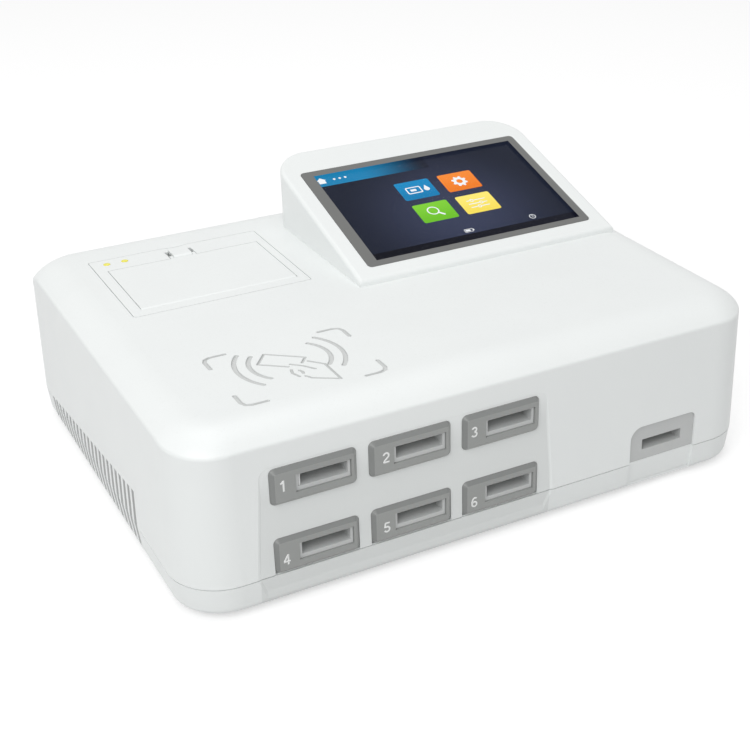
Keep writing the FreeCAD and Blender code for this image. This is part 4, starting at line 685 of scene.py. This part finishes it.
# Picture on the display: plain tiles with drawn signs, no words. A lit area changes slowly
# from one colour to the other between two places, along x, along y or away from a point.
# The areas stand in the order of their material index
picture = {"left": -75.4, "right": 79.4, "low": 15.6, "high": 113.2, "corner": 0.5,
           "base": -1.49, "step": 0.02, "barHeight": 14.4, "barLength": 83.0,
           "footHeight": 8.0, "bandCorner": 0.4,
           "tile": (25.4, 19.6), "tileCorner": 1.4,
           "tiles": [(-13.2, 77.6), (19.3, 77.8), (-12.7, 52.1), (19.2, 52.1)]}
night, day = tint(30, 35, 50), tint(56, 62, 86)
litAreas = [
    {"name": "pictureGround", "colors": (day, night), "places": (8.0, 78.0), "glow": (2.0, 48.0)},
    {"name": "pictureBar", "colors": (tint(33, 129, 178), night), "places": (-44.0, 6.0)},
    {"name": "pictureFoot", "colors": (tint(14, 16, 26), tint(20, 22, 34)),
     "places": (-70.0, 70.0)},
    {"name": "tileBlue", "colors": (tint(24, 124, 178), tint(30, 138, 194)),
     "places": (67.0, 88.0), "axis": 1},
    {"name": "tileOrange", "colors": (tint(238, 124, 38), tint(246, 140, 56)),
     "places": (67.0, 88.0), "axis": 1},
    {"name": "tileGreen", "colors": (tint(108, 190, 42), tint(128, 206, 58)),
     "places": (42.0, 62.0), "axis": 1},
    {"name": "tileYellow", "colors": (tint(246, 222, 92), tint(252, 234, 118)),
     "places": (42.0, 62.0), "axis": 1},
    {"name": "signWhite", "colors": (tint(244, 246, 248), tint(236, 240, 244)),
     "places": (-70.0, 70.0)},
]
litLook = {"roughness": 0.25, "specular": 0.04, "rowPitch": 0.19, "rowShade": (0.0, 0.06),
           "unlit": 0.9}


def litFinish(name, colors, places, axis=0, glow=None):
    material, tree, shader = newFinish(name, Roughness=litLook["roughness"],
                                       Specular_IOR_Level=litLook["specular"],
                                       Emission_Strength=1.0)
    point = facePoint(tree)
    along = axes(tree, point)
    away = along[axis]
    if glow:
        distance = addNode(tree, "ShaderNodeVectorMath", operation="DISTANCE")
        tree.links.new(point, distance.inputs[0])
        distance.inputs[1].default_value = (glow[0] * mm, glow[1] * mm, 0.0)
        away = distance.outputs["Value"]
    factor = remap(tree, away, places[0] * mm, places[1] * mm, smooth=True)
    rows = calc(tree, "SINE", times(tree, along[1], 2 * math.pi / (litLook["rowPitch"] * mm)))
    shade = remap(tree, rows, -1.0, 1.0, *litLook["rowShade"])
    color = mixColor(tree, shade, mixColor(tree, factor, *colors), black)
    tree.links.new(color, shader.inputs["Emission Color"])
    tree.links.new(mixColor(tree, litLook["unlit"], color, black), shader.inputs["Base Color"])
    return material


# Signs: each draws itself round its place with the fill that it is given
def testSign(fill, x, y):
    # a cassette with its window, and a drop
    line = 0.9
    fill(roundedBox(x - 7.5, x + 3.5, y - 3.6, y + 3.6, 1.2),
         roundedBox(x - 7.5 + line, x + 3.5 - line, y - 3.6 + line, y + 3.6 - line, 0.6))
    fill(roundedBox(x - 4.6, x - 0.4, y - 1.1, y + 1.1, 0.5))
    fill(bow(x + 7.2, y - 0.8, 2.0, 2.0, 140, 400, 20) + [(x + 7.2, y + 3.6)])


def setUpSign(fill, x, y):
    # a toothed wheel
    steps, tip, root = 32, 5.6, 4.3
    outline = []
    for i in range(steps):
        radius = tip if i % 4 in (1, 2) else root
        angle = 2 * math.pi * (i + 0.5) / steps
        outline.append((x + radius * math.cos(angle), y + radius * math.sin(angle)))
    fill(outline, circle(x, y, 2.2, steps))


def lookUpSign(fill, x, y):
    # a lens with its handle
    fill(circle(x - 1.2, y + 1.2, 4.2), circle(x - 1.2, y + 1.2, 3.3))
    fill(turned(roundedBox(0, 4.6, -0.75, 0.75, 0.7), x + 1.6, y - 1.6, -45))


def systemSign(fill, x, y):
    # three sliders
    for row, knob in ((3.6, -3.0), (0.0, 2.4), (-3.6, -0.6)):
        low, high, centre = y + row - 0.4, y + row + 0.4, x + knob
        fill(roundedBox(x - 7.0, centre - 1.7, low, high, 0.35))
        fill(roundedBox(centre + 1.7, x + 7.0, low, high, 0.35))
        fill(circle(centre, y + row, 1.5, 24), circle(centre, y + row, 0.8, 24))


def homeSign(fill, x, y):
    # a house, and the dots of the pages beside it
    fill([(x - 2.4, y - 2.8), (x + 2.4, y - 2.8), (x + 2.4, y + 0.4), (x + 3.4, y + 0.4),
          (x, y + 3.4), (x - 3.4, y + 0.4), (x - 2.4, y + 0.4)])
    for i in range(3):
        fill(circle(x + 9.0 + 4.0 * i, y, 0.9, 20))


def clockSign(fill, x, y):
    fill(circle(x, y, 2.3), circle(x, y, 1.8))
    fill(roundedBox(x - 0.2, x + 0.2, y - 0.2, y + 1.4, 0.18))
    fill(roundedBox(x - 0.2, x + 1.2, y - 0.2, y + 0.2, 0.18))


def batterySign(fill, x, y):
    fill(roundedBox(x - 3.4, x + 2.8, y - 1.6, y + 1.6, 0.5),
         roundedBox(x - 3.0, x + 2.4, y - 1.2, y + 1.2, 0.2))
    fill(roundedBox(x - 2.6, x + 0.8, y - 0.8, y + 0.8, 0.1))
    fill(roundedBox(x + 2.9, x + 3.5, y - 0.7, y + 0.7, 0.2))


signs = list(zip((testSign, setUpSign, lookUpSign, systemSign), picture["tiles"]))
signs += [(homeSign, (-69.5, 104.8)), (clockSign, (46.5, 27.5)), (batterySign, (-1.5, 27.0))]


def makePicture():
    bm = bmesh.new()
    left, right, low, high = (picture[side] for side in ("left", "right", "low", "high"))
    levels = [picture["base"] + i * picture["step"] for i in range(4)]
    corner, (width, length) = picture["bandCorner"], picture["tile"]
    groundIndex, barIndex, footIndex, firstTile, signIndex = 0, 1, 2, 3, 7
    ground = roundedBox(left, right, low, high, picture["corner"])
    addPlate(bm, ground, *levels[0:2], groundIndex)
    bar = roundedBox(left, left + picture["barLength"], high - picture["barHeight"], high, corner)
    addPlate(bm, bar, *levels[1:3], barIndex)
    foot = roundedBox(left, right, low, low + picture["footHeight"], corner)
    addPlate(bm, foot, *levels[1:3], footIndex)
    for index, (x, y) in enumerate(picture["tiles"], firstTile):
        tile = roundedBox(x - width / 2, x + width / 2, y - length / 2, y + length / 2,
                          picture["tileCorner"])
        addPlate(bm, tile, *levels[1:3], index)

    def fill(outline, hole=None):
        addPlate(bm, outline, *levels[2:4], signIndex, hole)

    for sign, place in signs:
        sign(fill, *place)
    mesh = meshFrom(bm, "screenPicture")
    mesh.transform(faceMatrix())
    addPiece("screen_picture", mesh, "case", [litFinish(**area) for area in litAreas])


makePicture()
print("display picture drawn")


# Geometry Nodes: a tree takes a mesh and its sizes, and ends realised and painted
def newNodesTree(name, inputs):
    return newGroup(name, [("Geometry", "Geometry")] + inputs, [("Geometry", "Geometry")],
                    "GeometryNodeTree")


def endNodesTree(tree, geometry, material, result):
    whole = tree.nodes.new("GeometryNodeRealizeInstances")
    paint = tree.nodes.new("GeometryNodeSetMaterial")
    tree.links.new(geometry, whole.inputs[0])
    tree.links.new(whole.outputs[0], paint.inputs[0])
    tree.links.new(material, paint.inputs["Material"])
    tree.links.new(paint.outputs[0], result.inputs[0])
    return tree


def nodesToMesh(name, mesh, tree, **values):
    # runs a tree on a mesh and gives back what it makes as a plain mesh
    maker = newObject(name, mesh)
    modifier = maker.modifiers.new(name, "NODES")
    modifier.node_group = tree
    for item in tree.interface.items_tree:
        label = item.name.replace(" ", "_")
        if item.in_out == "INPUT" and label in values:
            modifier[item.identifier] = values[label]
    bpy.context.view_layer.update()
    ready = maker.evaluated_get(bpy.context.evaluated_depsgraph_get())
    made = bpy.data.meshes.new_from_object(ready)
    maker.modifiers.clear()
    bpy.data.objects.remove(maker)
    made.name = name
    return made


# Sweeps a stroke's line with a flat rectangle, as a pen would lay ink
def makeStrokeNodes():
    tree, given, result = newNodesTree("inkStroke", [
        ("Stroke Width", "Float"), ("Ink Thickness", "Float"), ("Ink", "Material")])
    line = tree.nodes.new("GeometryNodeMeshToCurve")
    upright = tree.nodes.new("GeometryNodeSetCurveNormal")
    upright.mode = "Z_UP"
    shape = tree.nodes.new("GeometryNodeCurvePrimitiveQuadrilateral")
    sweep = tree.nodes.new("GeometryNodeCurveToMesh")
    sweep.inputs["Fill Caps"].default_value = True
    tree.links.new(given.outputs["Geometry"], line.inputs[0])
    tree.links.new(given.outputs["Stroke Width"], shape.inputs["Width"])
    tree.links.new(given.outputs["Ink Thickness"], shape.inputs["Height"])
    tree.links.new(line.outputs[0], upright.inputs["Curve"])
    tree.links.new(upright.outputs[0], sweep.inputs["Curve"])
    tree.links.new(shape.outputs[0], sweep.inputs["Profile Curve"])
    return endNodesTree(tree, sweep.outputs[0], given.outputs["Ink"], result)


# Repeats one contact along x
def makeRowNodes():
    tree, given, result = newNodesTree("contactRow", [
        ("Count", "Int"), ("Pitch", "Float"), ("Metal", "Material")])
    step = tree.nodes.new("ShaderNodeCombineXYZ")
    line = tree.nodes.new("GeometryNodeMeshLine")
    line.mode = "OFFSET"
    spread = tree.nodes.new("GeometryNodeInstanceOnPoints")
    tree.links.new(given.outputs["Pitch"], step.inputs[0])
    tree.links.new(given.outputs["Count"], line.inputs["Count"])
    tree.links.new(step.outputs[0], line.inputs["Offset"])
    tree.links.new(line.outputs[0], spread.inputs["Points"])
    tree.links.new(given.outputs["Geometry"], spread.inputs["Instance"])
    return endNodesTree(tree, spread.outputs[0], given.outputs["Metal"], result)


strokeNodes = makeStrokeNodes()
rowNodes = makeRowNodes()

# Bay numbers, printed left of each slot: each is a few strokes in a box one high
numbers = {"height": 6.5, "middle": 0.3, "left": (7.3, 4.8, 7.3, 7.7, 5.3, 7.1),
           "above": (2.4, 1.9, 2.1, -0.6, 0.1, -1.1), "thick": 0.04, "stroke": 0.165,
           "step": 0.006}
ink = {"color": tint(244, 245, 244), "shade": tint(228, 230, 229), "speckScale": 2600.0,
       "roughness": (0.35, 0.5), "bump": 0.3, "relief": 0.01}


def makeInk():
    material, tree, shader = newFinish("numberInk")
    speck = noise(tree, objectPoint(tree), ink["speckScale"], 2.0, 0.6)
    color = mixColor(tree, speck, ink["color"], ink["shade"])
    tree.links.new(color, shader.inputs["Base Color"])
    tree.links.new(between(tree, speck, ink["roughness"]), shader.inputs["Roughness"])
    addBump(tree, shader, speck, ink["bump"], ink["relief"] * mm)
    return material


def numberStrokes():
    half = numbers["stroke"] / 2
    return {
        1: [[(0.10, 0.72), (0.22, 0.78), (0.33, 0.92)], [(0.36, 0.0), (0.36, 1.0)]],
        2: [bow(0.30, 0.68, 0.23, 0.32 - half, 170, -35) + [(0.16, 0.24), (0.08, half)],
            [(0.04, half), (0.58, half)]],
        3: [bow(0.28, 0.73, 0.20, 0.27 - half, 165, -90),
            bow(0.28, 0.29, 0.23, 0.29 - half, 90, -165)],
        4: [[(0.43, 0.0), (0.43, 0.98)], [(0.42, 0.94), (0.08, 0.34)],
            [(0.02, 0.30), (0.60, 0.30)]],
        5: [[(0.54, 1 - half), (0.13, 1 - half)], [(0.16, 0.95), (0.11, 0.50)],
            bow(0.29, 0.32, 0.24, 0.32 - half, 132, -155)],
        6: [bow(0.31, 0.31, 0.22, 0.31 - half, 0, 360, 28),
            bow(0.36, 0.50, 0.27, 0.50 - half, 55, 190)],
    }


def lineMesh(strokes, scale):
    # strokes drawn flat, as edges only; each lies a hair above the one before
    points, edges = [], []
    for level, stroke in enumerate(strokes):
        for i, (x, y) in enumerate(stroke):
            if i:
                edges.append((len(points) - 1, len(points)))
            points.append((x * scale, y * scale, level * numbers["step"] * mm))
    mesh = bpy.data.meshes.new("strokes")
    mesh.from_pydata(points, edges, [])
    return mesh


def facesOut(mesh):
    bm = bmesh.new()
    bm.from_mesh(mesh)
    bmesh.ops.recalc_face_normals(bm, faces=bm.faces)
    bm.to_mesh(mesh)
    bm.free()


def printNumbers():
    paint, height = makeInk(), numbers["height"] * mm
    for number, strokes in numberStrokes().items():
        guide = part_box(f"card_guide_{number}")[0]
        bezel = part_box(f"bay_bezel_{number}")[0]
        left, above = numbers["left"][number - 1] * mm, numbers["above"][number - 1] * mm
        mesh = nodesToMesh(f"bay_number_{number}", lineMesh(strokes, height), strokeNodes,
                           Stroke_Width=numbers["stroke"] * height,
                           Ink_Thickness=numbers["thick"] * mm, Ink=paint)
        facesOut(mesh)
        standUp(mesh, Vector((guide.x - left - numbers["middle"] * height, bezel.y,
                              guide.z + above)))
        addPiece(f"bay_number_{number}", mesh, "case")


printNumbers()
print("bay numbers printed")

# Contacts in the sockets: each row repeats a strip bent along a path in y and z
sockets = {"network": {"centre": 77.0, "count": 8, "pitch": 1.02, "wide": 0.42, "thick": 0.3,
                       "path": [(142.4, 46.3), (140.6, 46.45), (139.8, 46.8), (134.6, 49.6),
                                (133.6, 49.7), (132.2, 49.0)]},
           "usb": {"centre": 59.0, "count": 4, "pitch": 2.3, "wide": 1.1, "thick": 0.14,
                   "path": [(141.7, 51.36), (141.2, 51.3), (140.6, 51.26), (134.0, 51.26),
                            (132.4, 51.3)]}}


def contactMesh(kind):
    bm = bmesh.new()
    half, thick, path = kind["wide"] / 2, kind["thick"] / 2, kind["path"]
    start = kind["centre"] - kind["pitch"] * (kind["count"] - 1) / 2
    rings = []
    for i, (y, z) in enumerate(path):
        before, after = path[max(i - 1, 0)], path[min(i + 1, len(path) - 1)]
        along = Vector((after[0] - before[0], after[1] - before[1])).normalized()
        side = Vector((-along.y, along.x)) * thick
        corners = [(-half, 1), (half, 1), (half, -1), (-half, -1)]
        rings.append([bm.verts.new((x, y + way * side.x, z + way * side.y))
                      for x, way in corners])
    faces = [rings[0], rings[-1]]
    for first, last in zip(rings, rings[1:]):
        faces += band(first, last)
    for corners in faces:
        bm.faces.new(corners)
    # rounds the edges that run along the path; those of the ends are shorter, or go across
    shortest, tiny = 0.5, 1e-6
    runs = [edge for edge in bm.edges if edge.calc_length() > shortest and
            abs(edge.verts[0].co.x - edge.verts[1].co.x) < tiny]
    bmesh.ops.bevel(bm, geom=runs, offset=thick / 2, segments=2, affect="EDGES")
    bmesh.ops.translate(bm, vec=(start, 0, 0), verts=bm.verts)
    return meshFrom(bm, "contact")


contactGold = metal("contactGold", tint(222, 190, 108), tint(196, 160, 80), 0.2, (900, 40, 900))
for label, kind in sockets.items():
    made = nodesToMesh(label + "_contacts", contactMesh(kind), rowNodes, Count=kind["count"],
                       Pitch=kind["pitch"] * mm, Metal=contactGold)
    addPiece(label + "_contacts", made, "case")
print("socket contacts placed")

# Bay 1 alone has an upright key beside its left guide: a bar with a raised rib; its pale paint is
# a painted highlight along that slot's left edge
key = {"left": 1.8, "wide": 1.3, "low": 1.5, "high": 9.5, "sink": 1.0, "deep": 5.0,
       "corner": 0.4, "rib": 0.35, "ribCorner": 0.2}


def makeBayKey():
    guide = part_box("card_guide_1")[0]
    bm = bmesh.new()
    rib, right = key["rib"], key["left"] + key["wide"]
    bar = roundedBox(key["left"], right, key["low"], key["high"], key["corner"])
    addPlate(bm, bar, -key["deep"], 0.0)
    raised = roundedBox(key["left"] + rib, right - rib, key["low"] + rib, key["high"] - rib,
                        key["ribCorner"])
    addPlate(bm, raised, -rib, rib)
    mesh = meshFrom(bm, "bayKey")
    standUp(mesh, Vector((guide.x, guide.y + key["sink"] * mm, guide.z)))
    addPiece("bay_key_1", mesh, "case", [plastic("keyPaintedHighlight", **keyHighlightPaint)])


makeBayKey()
print("bay key placed")

# Studio: pale floor that keeps the shadow, white room, soft lamps
studio = {"floorSize": 14.0, "floorColor": tint(205, 205, 205), "floorLift": 0.50,
          "bounce": (0.62, 0.62, 0.62, 1.0), "room": 0.50, "aim": (0, 0, 0.06),
          "lamps": [("keyLamp", (-1.33, -1.33, 1.75), 1.8, 32.0),
                    ("topLamp", (0.0, 0.3, 2.5), 1.6, 13.0),
                    ("frontLamp", (0.5, -2.2, 0.7), 1.4, 1.0)]}


def showAndLight(tree, output, shown, light):
    # one shader for what the camera sees, itself or through gloss and glass, one for the rest
    path = addNode(tree, "ShaderNodeLightPath")
    gloss = calc(tree, "ADD", path.outputs["Is Glossy Ray"], path.outputs["Is Transmission Ray"])
    seen = calc(tree, "ADD", path.outputs["Is Camera Ray"], gloss, True)
    choose = addNode(tree, "ShaderNodeMixShader")
    for value, socket in zip((seen, light, shown), choose.inputs):
        tree.links.new(value, socket)
    tree.links.new(choose.outputs[0], output.inputs[0])


def plainShader(tree, kind, color, *strength):
    node = addNode(tree, kind)
    for value, socket in zip((color, *strength), node.inputs):
        socket.default_value = value
    return node.outputs[0]


def makeFloor():
    half = studio["floorSize"] / 2
    mesh = bpy.data.meshes.new("floor")
    mesh.from_pydata([(-half, -half, 0), (half, -half, 0), (half, half, 0), (-half, half, 0)],
                     [], [(0, 1, 2, 3)])
    floor = newObject("floor", mesh)
    material = bpy.data.materials.new("paleFloor")
    material.use_nodes = True
    tree = material.node_tree
    tree.nodes.clear()
    shown = addNode(tree, "ShaderNodeAddShader")
    tree.links.new(plainShader(tree, "ShaderNodeBsdfDiffuse", studio["floorColor"]),
                   shown.inputs[0])
    tree.links.new(plainShader(tree, "ShaderNodeEmission", white, studio["floorLift"]),
                   shown.inputs[1])
    showAndLight(tree, tree.nodes.new("ShaderNodeOutputMaterial"), shown.outputs[0],
                 plainShader(tree, "ShaderNodeBsdfDiffuse", studio["bounce"]))
    mesh.materials.append(material)


def makeRoom():
    world = bpy.data.worlds.new("room")
    bpy.context.scene.world = world
    world.use_nodes = True
    tree = world.node_tree
    tree.nodes.clear()
    showAndLight(tree, tree.nodes.new("ShaderNodeOutputWorld"),
                 plainShader(tree, "ShaderNodeBackground", white, 1.0),
                 plainShader(tree, "ShaderNodeBackground", white, studio["room"]))


def makeLamps():
    for name, place, wide, power in studio["lamps"]:
        data = bpy.data.lights.new(name, "AREA")
        data.shape = "SQUARE"
        data.size = wide
        data.energy = power
        aim(newObject(name, data), place, studio["aim"])


makeFloor()
makeRoom()
makeLamps()
bpy.context.scene.view_settings.view_transform = "Standard"
print("studio lit")
